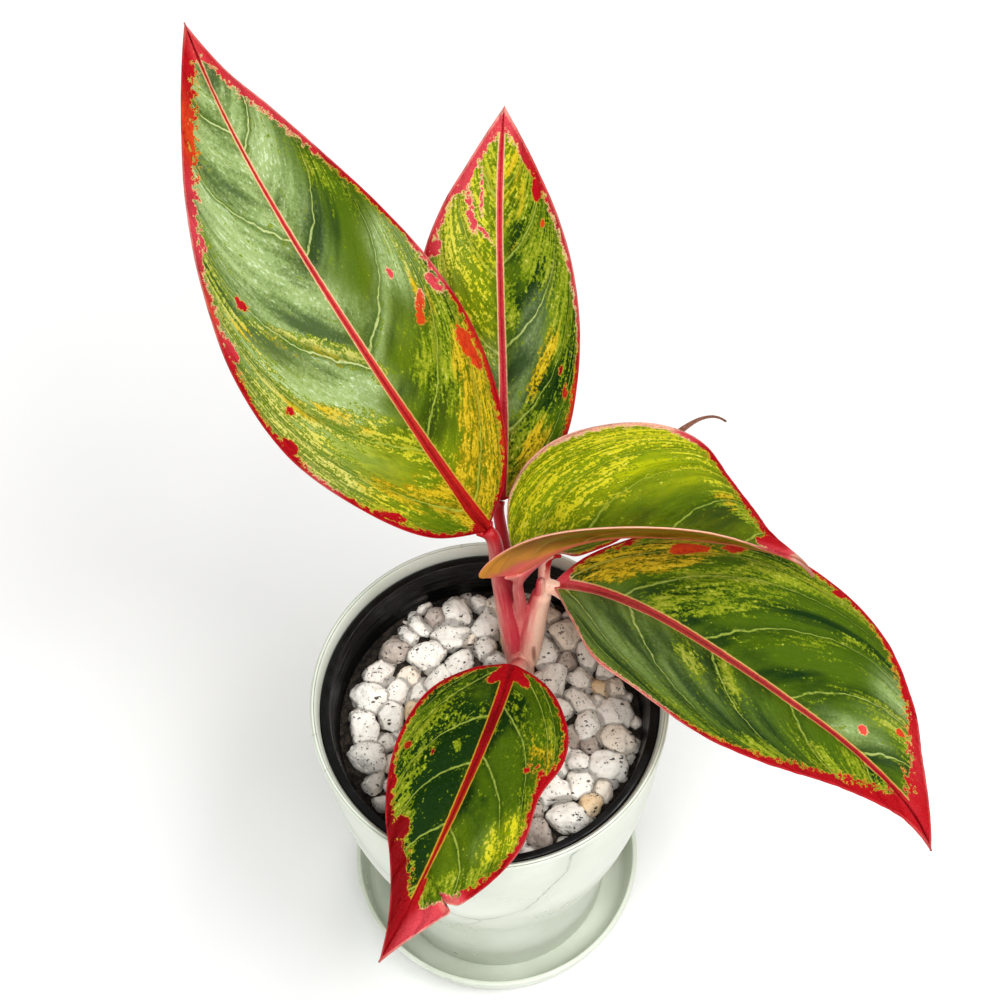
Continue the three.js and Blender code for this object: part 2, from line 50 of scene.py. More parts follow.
# The midrib's control points, each margin's points (along, out), the bends in degrees and the wave's
# height in mm, number and phase. Then where the side veins leave the midrib on the left and on the
# right half, how many mm the blade swells between them, how short the flecks are along them (1 is as
# long as broad), and how far the flecks keep to them if not fully. The midribs, and all margins but
# leaf_behind's, began as numbers that a scratch script worked out from points read off the photo.
# Many were then corrected.
BLADES = {
    "leaf_back_left": dict(
        midrib=[[1, 42, 192], [-23, 66, 223], [-47, 98, 254], [-73, 129, 277], [-88, 172, 296]],
        left=[[12, 18.2], [33, 31], [60, 40.7], [88.5, 40.6], [115.5, 34], [139.5, 24.5], [158.5, 15.3],
              [174, 7.8]],
        right=[[12, 16.5], [33, 27.7], [58, 33.6], [84.5, 33.8], [110, 29], [133, 22.3], [154.5, 14.5],
               [171.5, 6.7]],
        roll=[5, 5, 5], fold_left=[14, 12, 8], fold_right=[14, 12, 8], curl=-3, wave=(0.8, 3.5, 40),
        veins=([-12, 8, 33, 66, 114, 152, 200], [-12, 8, 36, 70, 107, 146, 200]), quilt=0.9, stroke=0.42),
    "leaf_back": dict(
        midrib=[[6, 55.5, 187], [10, 78.5, 209], [8, 103, 230], [8, 126, 254], [12, 149, 277]],
        left=[[8, 11.5], [22.5, 20], [40.5, 24.5], [59.5, 26], [79.5, 25.5], [97, 19], [110, 11.5],
              [120.5, 5.5]],
        right=[[8, 12.5], [22.5, 21], [40, 24.5], [59.5, 25.5], [78.5, 23.5], [96, 18.5], [111, 11.8],
               [121.5, 5.8]],
        roll=[0, 0, 0], fold_left=[16, 12, 8], fold_right=[16, 12, 8], curl=-3, wave=(0.8, 3, 200),
        veins=([-10, 0, 22, 48, 74, 100, 140], [-10, 0, 22, 50, 78, 102, 140]), quilt=0.6, stroke=0.5),
    "leaf_right_folded": dict(
        midrib=[[11, 28, 188], [38, 32, 220], [49, 22, 219], [101, 37, 190], [107, 27, 179]],
        left=[[8.5, 21.5], [22.5, 32.5], [38, 36], [54, 35.8], [67.5, 31.3], [77, 21.7], [86, 13], [96, 5]],
        right=[[0.5, 19], [22, 26.5], [41, 32.5], [57, 31.5], [71, 25], [82, 14.5], [92, 7], [102, 2]],
        roll=[17, 17, 17], fold_left=[42, 42, 30], fold_right=[58, 53, 49, 30], curl=-1, wave=(0.4, 2.5, 0),
        veins=([-12, 8, 28, 55, 82, 125], [-12, 8, 28, 55, 82, 125]), quilt=0.5, stroke=0.45),
    "leaf_right_low": dict(
        midrib=[[23, 32.8, 168], [62, 26, 175], [82, -14, 175], [128, -23, 165], [141, -57, 146]],
        left=[[9.5, 12], [28, 28], [52, 39.5], [77.5, 41.5], [101, 36], [119, 25], [131.5, 13.8], [143, 6.2]],
        right=[[10, 15], [28, 29], [49.5, 32.5], [72.5, 32], [93.5, 26.6], [112, 17.7], [128.5, 10],
               [142, 3.8]],
        roll=[0, 0, 0], fold_left=[16, 14, 10], fold_right=[26, 24, 16], curl=-3, wave=(0.8, 3, 120),
        veins=([-12, 2, 22, 53, 86, 115, 165], [-12, 2, 25, 57, 88, 118, 165]), quilt=0.8, stroke=0.42),
    "leaf_front": dict(
        midrib=[[8, 10, 156], [1, -16, 162], [-11, -42, 166], [-23, -68, 159], [-38, -88, 146]],
        left=[[7.5, 14.5], [20, 24.5], [31, 27.3], [44.5, 24.3], [60, 25.6], [74, 21], [88, 12.8], [101, 5]],
        right=[[7, 13], [20.5, 23], [36.5, 26.5], [52.5, 25], [67.5, 20], [79.5, 13], [90, 7.5], [100, 3.5]],
        roll=[0, 0, 0], fold_left=[12, 10, 8], fold_right=[12, 10, 8], curl=-3, wave=(0.6, 3, 300),
        veins=([-10, -2, 16, 36, 62, 84, 120], [-10, 0, 20, 39, 62, 84, 120]), quilt=0.5, stroke=0.7,
        sweep=0.5),
    "leaf_behind": dict(
        midrib=[[23, 41, 177], [31, 45, 188], [44, 49, 209], [52, 50, 206], [69, 82, 207], [81, 75, 199]],
        left=[[4, 4], [9, 8.5], [18, 12.5], [28, 14], [38, 11], [48, 6], [58, 2.5], [70, 1]],
        right=[[4, 4.5], [9, 9], [18, 13], [27, 15.5], [38, 14], [49, 8.5], [59, 3.5], [70, 1]],
        roll=[0, 0, 0], fold_left=[12, 12, 12], fold_right=[12, 12, 12], curl=-3, wave=(0.4, 2, 0),
        veins=([-10, 0, 16, 34, 60, 100], [-10, 0, 16, 34, 60, 100]), quilt=0.2, stroke=0.6),
}


def bezier(values, u):
    """Values (numbers or points) of the Bezier curve at the parameters u."""
    values = np.asarray(values, float)
    if values.ndim == 1:
        values = values[:, None]
    n = len(values) - 1
    u = np.asarray(u, float)[..., None]
    return sum(math.comb(n, i) * u**i * (1 - u) ** (n - i) * values[i] for i in range(n + 1))


def spline(points, t):
    """Uniform Catmull-Rom curve through the points, at t from 0 to 1."""
    p = np.asarray(points, float)
    n = len(p) - 1
    x = np.clip(np.asarray(t, float) * n, 0, n)
    i = np.minimum(x.astype(int), n - 1)
    w = (x - i)[..., None]
    p0, p1 = p[np.clip(i - 1, 0, n)], p[i]
    p2, p3 = p[i + 1], p[np.clip(i + 2, 0, n)]
    v0, v1 = (p2 - p0) / 2, (p3 - p1) / 2
    return (2 * p1 - 2 * p2 + v0 + v1) * w**3 + (-3 * p1 + 3 * p2 - 2 * v0 - v1) * w**2 + v0 * w + p1


def arc(a, b, c, t):
    """Curve from a to c that b pulls at."""
    return a * (1 - t) ** 2 + b * 2 * t * (1 - t) + c * t**2


def unit(v):
    return v / np.linalg.norm(v, axis=-1, keepdims=True)


def run_of(points):
    """How far along the line of points each one is."""
    return np.concatenate([[0], np.cumsum(np.linalg.norm(np.diff(points, axis=0), axis=1))])


def circle(sides):
    return np.linspace(0, 2 * math.pi, sides, endpoint=False)


class Blade:
    """A leaf blade that is drawn flat, along and out in mm, and then bent into space."""

    def __init__(self, name):
        self.shape = BLADES[name]
        self.control = np.array(self.shape["midrib"], float)
        self.t = np.linspace(0, 1, 401)
        self.run = run_of(bezier(self.control, self.t))
        self.length = self.run[-1]
        self.broadest = max(p[1] for p in self.shape["left"] + self.shape["right"])

    def margin(self, side, t):
        edge = spline([[0, NECK]] + self.shape[side] + [[self.length, 0]], t)
        edge[..., 1] = np.maximum(edge[..., 1], LEAST_WIDTH)
        return edge

    def frame(self, along):
        near = np.clip(along, 0, self.length)
        t = np.interp(near, self.run, self.t)
        tangent = unit(bezier(np.diff(self.control, axis=0), t))
        point = bezier(self.control, t) + (along - near)[..., None] * tangent
        level = unit(np.cross(tangent, [0, 0, 1.0]))
        up = np.cross(level, tangent)
        roll = np.radians(bezier(self.shape["roll"], near / self.length))
        right = np.cos(roll) * level + np.sin(roll) * up
        return point, right, np.cross(right, tangent)

    def at(self, along, out, lift):
        point, right, up = self.frame(along)
        u = np.clip(along / self.length, 0, 1)
        left_fold, right_fold = (bezier(self.shape[side], u)[..., 0] for side in ("fold_left", "fold_right"))
        fold = np.radians(np.where(out < 0, left_fold, right_fold))
        bend = math.radians(self.shape["curl"]) / 10
        angle = fold + bend * np.abs(out)
        reach = (np.sin(angle) - np.sin(fold)) / bend
        rise = (np.cos(fold) - np.cos(angle)) / bend
        lean = angle * np.clip(np.abs(out) / 1.5, 0, 1)
        height, waves, phase = self.shape["wave"]
        swell = (out / self.broadest) ** 2 * np.sin(2 * math.pi * waves * u + math.radians(phase))
        off = lift + height * swell
        across = np.sign(out) * (reach - np.sin(lean) * off)
        above = rise + np.cos(lean) * off
        return point + across[..., None] * right + above[..., None] * up

    def spot(self, along, out, lift):
        """One point of the bent blade."""
        return self.at(*(np.array([v], float) for v in (along, out, lift)))[0]


# Materials and meshes
def linear(colour):
    """The linear values that shaders use, for a colour of 0-255 screen values."""
    def line(c):
        c /= 255
        return c / 12.92 if c <= 0.04045 else ((c + 0.055) / 1.055) ** 2.4
    return (*map(line, colour), 1)


def put(socket, value):
    """Links an output to the socket, or sets the socket's own value."""
    if isinstance(value, Output):
        socket.id_data.links.new(value.socket, socket)
    else:
        socket.default_value = value


def combine(operation, a, b=0, clamp=False):
    """Adds a Math node for a and b, of which at least one is an Output, and returns its output."""
    tree = (a if isinstance(a, Output) else b).socket.id_data
    made = tree.nodes.new("ShaderNodeMath")
    made.operation = operation
    made.use_clamp = clamp
    put(made.inputs[0], a)
    put(made.inputs[1], b)
    return Output(made.outputs[0])


class Output:
    """What a node gives. Arithmetic with it adds Math nodes to its tree."""

    def __init__(self, socket):
        self.socket = socket

    def __add__(self, other):
        return combine("ADD", self, other)

    def __sub__(self, other):
        return combine("SUBTRACT", self, other)

    def __rsub__(self, other):
        return combine("SUBTRACT", other, self)

    def __mul__(self, other):
        return combine("MULTIPLY", self, other)

    def __abs__(self):
        return combine("ABSOLUTE", self)


class Material:
    """A node material under construction. Its methods add nodes and return their outputs."""

    def __init__(self, name, roughness, **fixed):
        self.material = bpy.data.materials.new(name)
        self.material.use_nodes = True
        self.shader = self.material.node_tree.nodes["Principled BSDF"]
        self.shader.inputs["Roughness"].default_value = roughness
        for socket, value in fixed.items():
            self.shader.inputs[socket.replace("_", " ")].default_value = value

    def node(self, kind, inputs, **settings):
        made = self.material.node_tree.nodes.new(kind)
        for key, value in settings.items():
            setattr(made, key, value)
        for socket, value in inputs.items():
            put(made.inputs[socket], value)
        return [Output(socket) for socket in made.outputs]

    def attribute(self, name):
        """The attribute as a vector, and its three numbers."""
        vector = self.node("ShaderNodeAttribute", {}, attribute_name=name)[1]
        return vector, *self.node("ShaderNodeSeparateXYZ", {0: vector})

    def place(self):
        """The place on the object, in m."""
        return self.node("ShaderNodeTexCoord", {})[3]

    def stretch(self, vector, scale, offset=(0, 0, 0)):
        return self.node("ShaderNodeMapping", {"Vector": vector, "Scale": scale, "Location": offset})[0]

    def noise(self, vector, scale, detail=2.0, rough=0.5, output=0):
        inputs = {"Vector": vector, "Scale": scale, "Detail": detail, "Roughness": rough}
        return self.node("ShaderNodeTexNoise", inputs)[output]

    def cells(self, vector, scale):
        return self.node("ShaderNodeTexVoronoi", {"Vector": vector, "Scale": scale})[0]

    def ramp(self, value, low, high, start=0.0, end=1.0):
        """start below low, end above high, and smooth between them."""
        inputs = dict(enumerate((value, low, high, start, end)))
        return self.node("ShaderNodeMapRange", inputs, interpolation_type="SMOOTHSTEP")[0]

    def mix(self, share, a, b):
        """From colour a to colour b. Each is an output or the screen values of a colour."""
        a, b = (c if isinstance(c, Output) else linear(c) for c in (a, b))
        return self.node("ShaderNodeMix", {0: share, 6: a, 7: b}, data_type="RGBA")[2]

    def bump(self, height, distance, strength=1.0, under=None):
        inputs = {"Strength": strength, "Distance": distance, "Height": height}
        if under is not None:
            inputs["Normal"] = under
        return self.node("ShaderNodeBump", inputs)[0]

    def done(self, colour, normal=None, roughness=None):
        for socket, value in (("Base Color", colour), ("Normal", normal), ("Roughness", roughness)):
            if value is not None:
                put(self.shader.inputs[socket], value)
        return self.material


def placed(name, data):
    """A new object in the scene, for a mesh, a camera or a lamp."""
    made = bpy.data.objects.new(name, data)
    bpy.context.collection.objects.link(made)
    return made


def mesh_object(name, points, faces):
    mesh = bpy.data.meshes.new(name)
    mesh.from_pydata((np.asarray(points) * MM).tolist(), [], faces)
    mesh.validate()
    mesh.update()
    mesh.shade_smooth()
    return placed(name, mesh)


def applied(piece):
    """Replaces the piece's mesh by what its modifiers make of it."""
    graph = bpy.context.evaluated_depsgraph_get()
    mesh = bpy.data.meshes.new_from_object(piece.evaluated_get(graph))
    old = piece.data
    piece.modifiers.clear()
    piece.data = mesh
    bpy.data.meshes.remove(old)
    mesh.name = piece.name
    mesh.shade_smooth()


def vertices(piece):
    points = np.empty(len(piece.data.vertices) * 3, dtype=np.float32)
    piece.data.vertices.foreach_get("co", points)
    return points.reshape(-1, 3) / MM


def store(piece, name, *values):
    """Keeps up to three numbers for each vertex, for the material to read."""
    kept = np.zeros((len(piece.data.vertices), 3), dtype=np.float32)
    for column, value in enumerate(values):
        kept[:, column] = value
    layer = piece.data.attributes.new(name, "FLOAT_VECTOR", "POINT")
    layer.data.foreach_set("vector", kept.ravel())


def settle(piece, slot, node, *materials):
    """Gives a piece its materials, and puts it in the place of a CAD node. The slot is not used."""
    for material in materials:
        piece.data.materials.append(material)
    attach(piece, "root")
    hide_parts(node)


def join(verts, faces, more_verts, more_faces):
    """Adds a second mesh's points and faces to the first one's."""
    faces += [tuple(i + len(verts) for i in face) for face in more_faces]
    verts += list(more_verts)


def quads(rows, columns, closed=False):
    """Faces between the points of a grid. Each row also closes on itself if closed."""
    faces = []
    for i in range(rows - 1):
        for j in range(columns if closed else columns - 1):
            a, b = i * columns + j, i * columns + (j + 1) % columns
            faces.append((a, b, b + columns, a + columns))
    return faces


# Camera, floor and light
CAMERA_AT = (0.005973, -0.452010, 1.145529)
CAMERA_DOWN = 62.106
CAMERA_ROLL = -2.107
CAMERA_LENS = 118.96
CAMERA_SENSOR = 36
CAMERA_SEES = 20

FLOOR_HALF = 15000

GAMMA = 0.88
SKY = (1, 0.99, 0.95, 1)
SKY_STRENGTH = 0.46

# Lamps: name, place and size in m, watts. They point at the plant.
LAMPS = [
    ("window", (0.75, -0.2, 1.7), (0.8, 0.7), 17),
    ("back", (1.2, 2.5, 1.6), (1.6, 1.2), 23),
    ("left", (-1.5, -1.75, 1.6), (1.2, 0.9), 18),
    ("above", (0.15, -0.85, 1.6), (1, 0.9), 13),
]
PLANT_AT = Vector((0, 0.05, 0.15))


def camera():
    data = bpy.data.cameras.new("camera")
    data.lens = CAMERA_LENS
    data.sensor_width = CAMERA_SENSOR
    data.clip_end = CAMERA_SEES
    made = placed("camera", data)
    pitch = Matrix.Rotation(math.radians(90 - CAMERA_DOWN), 4, "X")
    roll = Matrix.Rotation(math.radians(CAMERA_ROLL), 4, "Z")
    made.matrix_world = Matrix.Translation(CAMERA_AT) @ pitch @ roll
    bpy.context.scene.camera = made


def floor():
    corners = [(x * FLOOR_HALF, y * FLOOR_HALF, 0) for x, y in ((-1, -1), (1, -1), (1, 1), (-1, 1))]
    piece = mesh_object("floor", corners, [(0, 1, 2, 3)])
    m = Material("floor", 0.6)
    tone = m.ramp(m.noise(m.place(), 3, 3), 0.3, 0.7)
    piece.data.materials.append(m.done(m.mix(tone, (236, 237, 238), (243, 243, 243))))


def lights():
    view = bpy.context.scene.view_settings
    view.view_transform = "Standard"
    view.gamma = GAMMA
    world = bpy.data.worlds.new("world")
    world.use_nodes = True
    background = world.node_tree.nodes["Background"]
    background.inputs["Color"].default_value = SKY
    background.inputs["Strength"].default_value = SKY_STRENGTH
    bpy.context.scene.world = world
    for name, at, size, watts in LAMPS:
        data = bpy.data.lights.new(name, "AREA")
        data.shape = "RECTANGLE"
        data.size, data.size_y = size
        data.energy = watts
        lamp = placed(name, data)
        lamp.location = at
        lamp.rotation_euler = (PLANT_AT - Vector(at)).to_track_quat("-Z", "Y").to_euler()


# Leaf materials, colours as on screen
CRIMSON = (180, 6, 24)
WINE = (126, 0, 8)
PINK = (212, 80, 90)
PALE = (238, 182, 156)
CREAM = (236, 196, 150)
MUSTARD = (200, 160, 50)
GOLD = (206, 178, 34)
YELLOW = (208, 200, 36)
LIME = (180, 184, 0)
GREEN = (78, 104, 0)
DEEP = (18, 52, 0)
# The grey-green of the painted sheen, where the gloss would reflect the light
PAINTED_SHEEN_GREY = (170, 190, 130)


def vein_distance(m):
    """Distance in mm to the nearest side vein, and the midrib's half-width."""
    _, number, spacing, rib = m.attribute("vein")
    flat = m.attribute("flat")[0]
    # 100 keeps this above 0, and 0.43 with the noise's mean puts each vein at the middle of a step
    shifted = number + m.noise(flat, 0.14) * 0.14 + 100.43
    return abs(combine("FRACT", shifted) - 0.5) * spacing, rib


def leaf_top():
    """Variegation, with painted sheen and painted highlights. 'flat' holds along, out and the distance to the
    margin in mm;
    'stroke' the place that the flecks are drawn in; 'vein' the number of the side vein, their spacing in mm
    and the midrib's half-width; 'red' the margin's width in mm, how red a patch is and how pink; 'tone' how
    gold it is, how much painted sheen it has where the gloss would reflect the light, and how lime; 'mark'
    how many flecks there are, how deep the green is and how orange the red is, or how brown below 0."""
    m = Material("leaf_top", 0.3, Specular_IOR_Level=0.12)
    mix, ramp, cloud = m.mix, m.ramp, m.noise
    flat, _, out, edge = m.attribute("flat")
    _, across, drawn, _ = m.attribute("stroke")
    streak = m.node("ShaderNodeCombineXYZ", {0: across, 1: drawn})[0]
    vein, rib = vein_distance(m)
    _, margin, patch, pink = m.attribute("red")
    _, gold, painted_sheen, lime = m.attribute("tone")
    _, flecks, deep, orange = m.attribute("mark")
    reach = abs(out)
    broad = cloud(streak, 0.1)
    coarse = cloud(streak, 0.3, 3, 0.6)
    brush = cloud(streak, 0.85, 2, 0.6)
    grain = cloud(flat, 0.95, 2, 0.65)
    jag = cloud(flat, 0.5, 4, 0.7)
    fine = cloud(flat, 2.2)

    # greens, with the painted sheen and its painted highlights
    depth = broad + (brush - 0.5) * (0.18 - painted_sheen * 0.14) - deep * 0.3
    green = mix(ramp(depth, 0.3, 0.56), DEEP, GREEN)
    green = mix(lime, green, mix(ramp(coarse, 0.35, 0.65), (138, 152, 0), LIME))
    sheet = broad * 0.55 + coarse * 0.25 + grain * 0.2
    # painted sheen: a paler grey-green sheet where the gloss would reflect the light
    green = mix(painted_sheen * ramp(sheet, 0.4, 0.58, 0.2, 0.88), green, PAINTED_SHEEN_GREY)
    # painted highlights: small pale glints within the painted sheen, with darker green between them
    sheen = painted_sheen * painted_sheen
    glint = cloud(m.stretch(streak, (0.9, 1.6, 1)), 1.1, 4, 0.7) * 0.6 + sheet * 0.4
    green = mix(sheen * ramp(glint, 0.53, 0.62, 0, 0.75), green, (214, 226, 194))
    green = mix(sheen * ramp(glint, 0.46, 0.36, 0, 0.45), green, GREEN)

    # lighter flecks and strokes, drawn out along the side veins
    amount = coarse * 0.34 + brush * 0.33 + grain * 0.33 + flecks * 0.14
    warm = ramp(gold + (coarse - 0.5) * 1.6, 0.3, 0.75)
    colour = mix(ramp(amount, 0.575, 0.61), green, mix(warm, (116, 136, 10), (154, 136, 10)))
    light = mix(ramp(lime, 0, 0.6), (148, 158, 38), YELLOW)
    # the flecks are paler within the painted sheen
    light = mix(painted_sheen * 0.8, light, (206, 202, 122))
    colour = mix(ramp(amount, 0.62, 0.67), colour, mix(warm, light, GOLD))
    bright = grain * 0.6 + brush * 0.4 + flecks * 0.07
    colour = mix(ramp(bright, 0.66, 0.71, 0, 0.7), colour, mix(warm, (212, 212, 112), (230, 208, 92)))

    # side veins, each a pale line in a band of painted shade along its groove
    groove_shade = (painted_sheen * 0.3 + 0.35) * ramp(vein, 0.3, 2.4, 1, 0)
    colour = mix(groove_shade, colour, mix(lime, mix(painted_sheen, DEEP, (70, 100, 10)), (88, 116, 0)))
    thin = 0.24 - ramp(reach, 0, 26, 0, 0.16)
    line = ramp(vein - thin, -0.08, 0.2, 0.75, 0)
    line = line * ramp(cloud(flat, 0.4), 0.3, 0.5, 0.45, 1) * ramp(lime, 0.2, 1, 1, 0.45)
    # the vein lines are paler within the painted sheen
    pale = mix(painted_sheen, (166, 182, 82), (212, 220, 160))
    colour = mix(line, colour, mix(lime, pale, (190, 196, 60)))

    # red patches, margin and midrib, each with its pale outline
    spot = patch + (jag - 0.5) * 1.5
    inner = margin * ramp(jag, 0.32, 0.68, 0.5, 1.5) - edge + (fine - 0.5) * 1.2
    core = rib - reach + (jag - 0.5) * 0.5
    red = combine("MAXIMUM", combine("MAXIMUM", inner, core), (spot - 0.5) * 4)
    filled = ramp(red, -0.1, 0.12)
    colour = mix(ramp(red, -0.6, -0.3) * 0.8, colour, mix(ramp(pink, 0.1, 0.7), MUSTARD, CREAM))
    blush = pink + (fine - 0.5) * 0.7
    darker = mix(pink, WINE, CRIMSON)
    tone = mix(ramp(blush, 0.1, 0.9), CRIMSON, PINK)
    tone = mix(ramp(blush, 1.2, 1.8), tone, PALE)
    tone = mix(ramp(fine, 0.4, 0.75, 0, 0.5), tone, darker)
    ragged = ramp(jag, 0.35, 0.6, 0.4, 1)
    tone = mix(combine("MAXIMUM", orange, 0) * ragged, tone, (216, 86, 24))
    tone = mix(combine("MULTIPLY", deep, 0.7, clamp=True), tone, WINE)
    centre = ramp(reach - rib * 0.35, -0.15, 0.25, 0.75, 0)
    tone = mix(centre * ramp(jag, 0.3, 0.6, 0.4, 1), tone, darker)
    colour = mix(filled, colour, tone)
    lip = mix(pink, (206, 60, 66), (240, 186, 170))
    colour = mix(ramp(edge + (fine - 0.5) * 0.5, 0.2, 0.5, 0.55, 0), colour, lip)
    dried = mix(ramp(fine, 0.4, 0.6), (120, 84, 70), (166, 116, 96))
    colour = mix(ramp(orange, 0, -0.9) * filled, colour, dried)

    relief = combine("MINIMUM", vein, 5) * 0.14 + cloud(streak, 0.4, 3, 0.55) * 0.8
    normal = m.bump(relief, 0.0012, 0.8)
    normal = m.bump(cloud(flat, 0.8, 4, 0.7), 0.0008, 0.9, normal)
    return m.done(colour, normal, ramp(coarse, 0.3, 0.7, 0.24, 0.36))


def leaf_under():
    m = Material("leaf_under", 0.42, Specular_IOR_Level=0.12)
    mix, ramp = m.mix, m.ramp
    flat, _, out, edge = m.attribute("flat")
    run = m.attribute("stroke")[3]
    vein, rib = vein_distance(m)
    reach = abs(out)
    mottle = m.noise(flat, 0.16, 4, 0.6)
    jag = m.noise(flat, 0.9, 3, 0.6)
    colour = mix(ramp(mottle, 0.35, 0.65), (112, 72, 0), (152, 102, 12))
    colour = mix(ramp(m.noise(flat, 0.07), 0.48, 0.62, 0, 0.7), colour, (116, 108, 14))
    colour = mix(ramp(vein - 0.2, 0, 0.5, 0.5, 0), colour, (176, 150, 84))
    colour = mix(ramp(edge + (jag - 0.5) * 1.6, 0.5, 1.8, 1, 0), colour, (222, 156, 112))
    ragged = (mottle - 0.5) * 16
    colour = mix(ramp(run + reach * 0.35 + ragged, 14, 30, 0.95, 0), colour, (214, 150, 62))
    colour = mix(ramp(run + reach * 1.2 + ragged * 0.5, 9, 22, 0.95, 0), colour, (226, 112, 108))
    colour = mix(ramp(reach - rib, 0.2, 1.6, 0.9, 0), colour, (206, 108, 84))
    normal = m.bump(combine("MINIMUM", vein, 2) * -0.3, 0.0004, 0.5)
    normal = m.bump(m.noise(flat, 1.3, 3), 0.0003, 0.4, normal)
    return m.done(colour, normal)
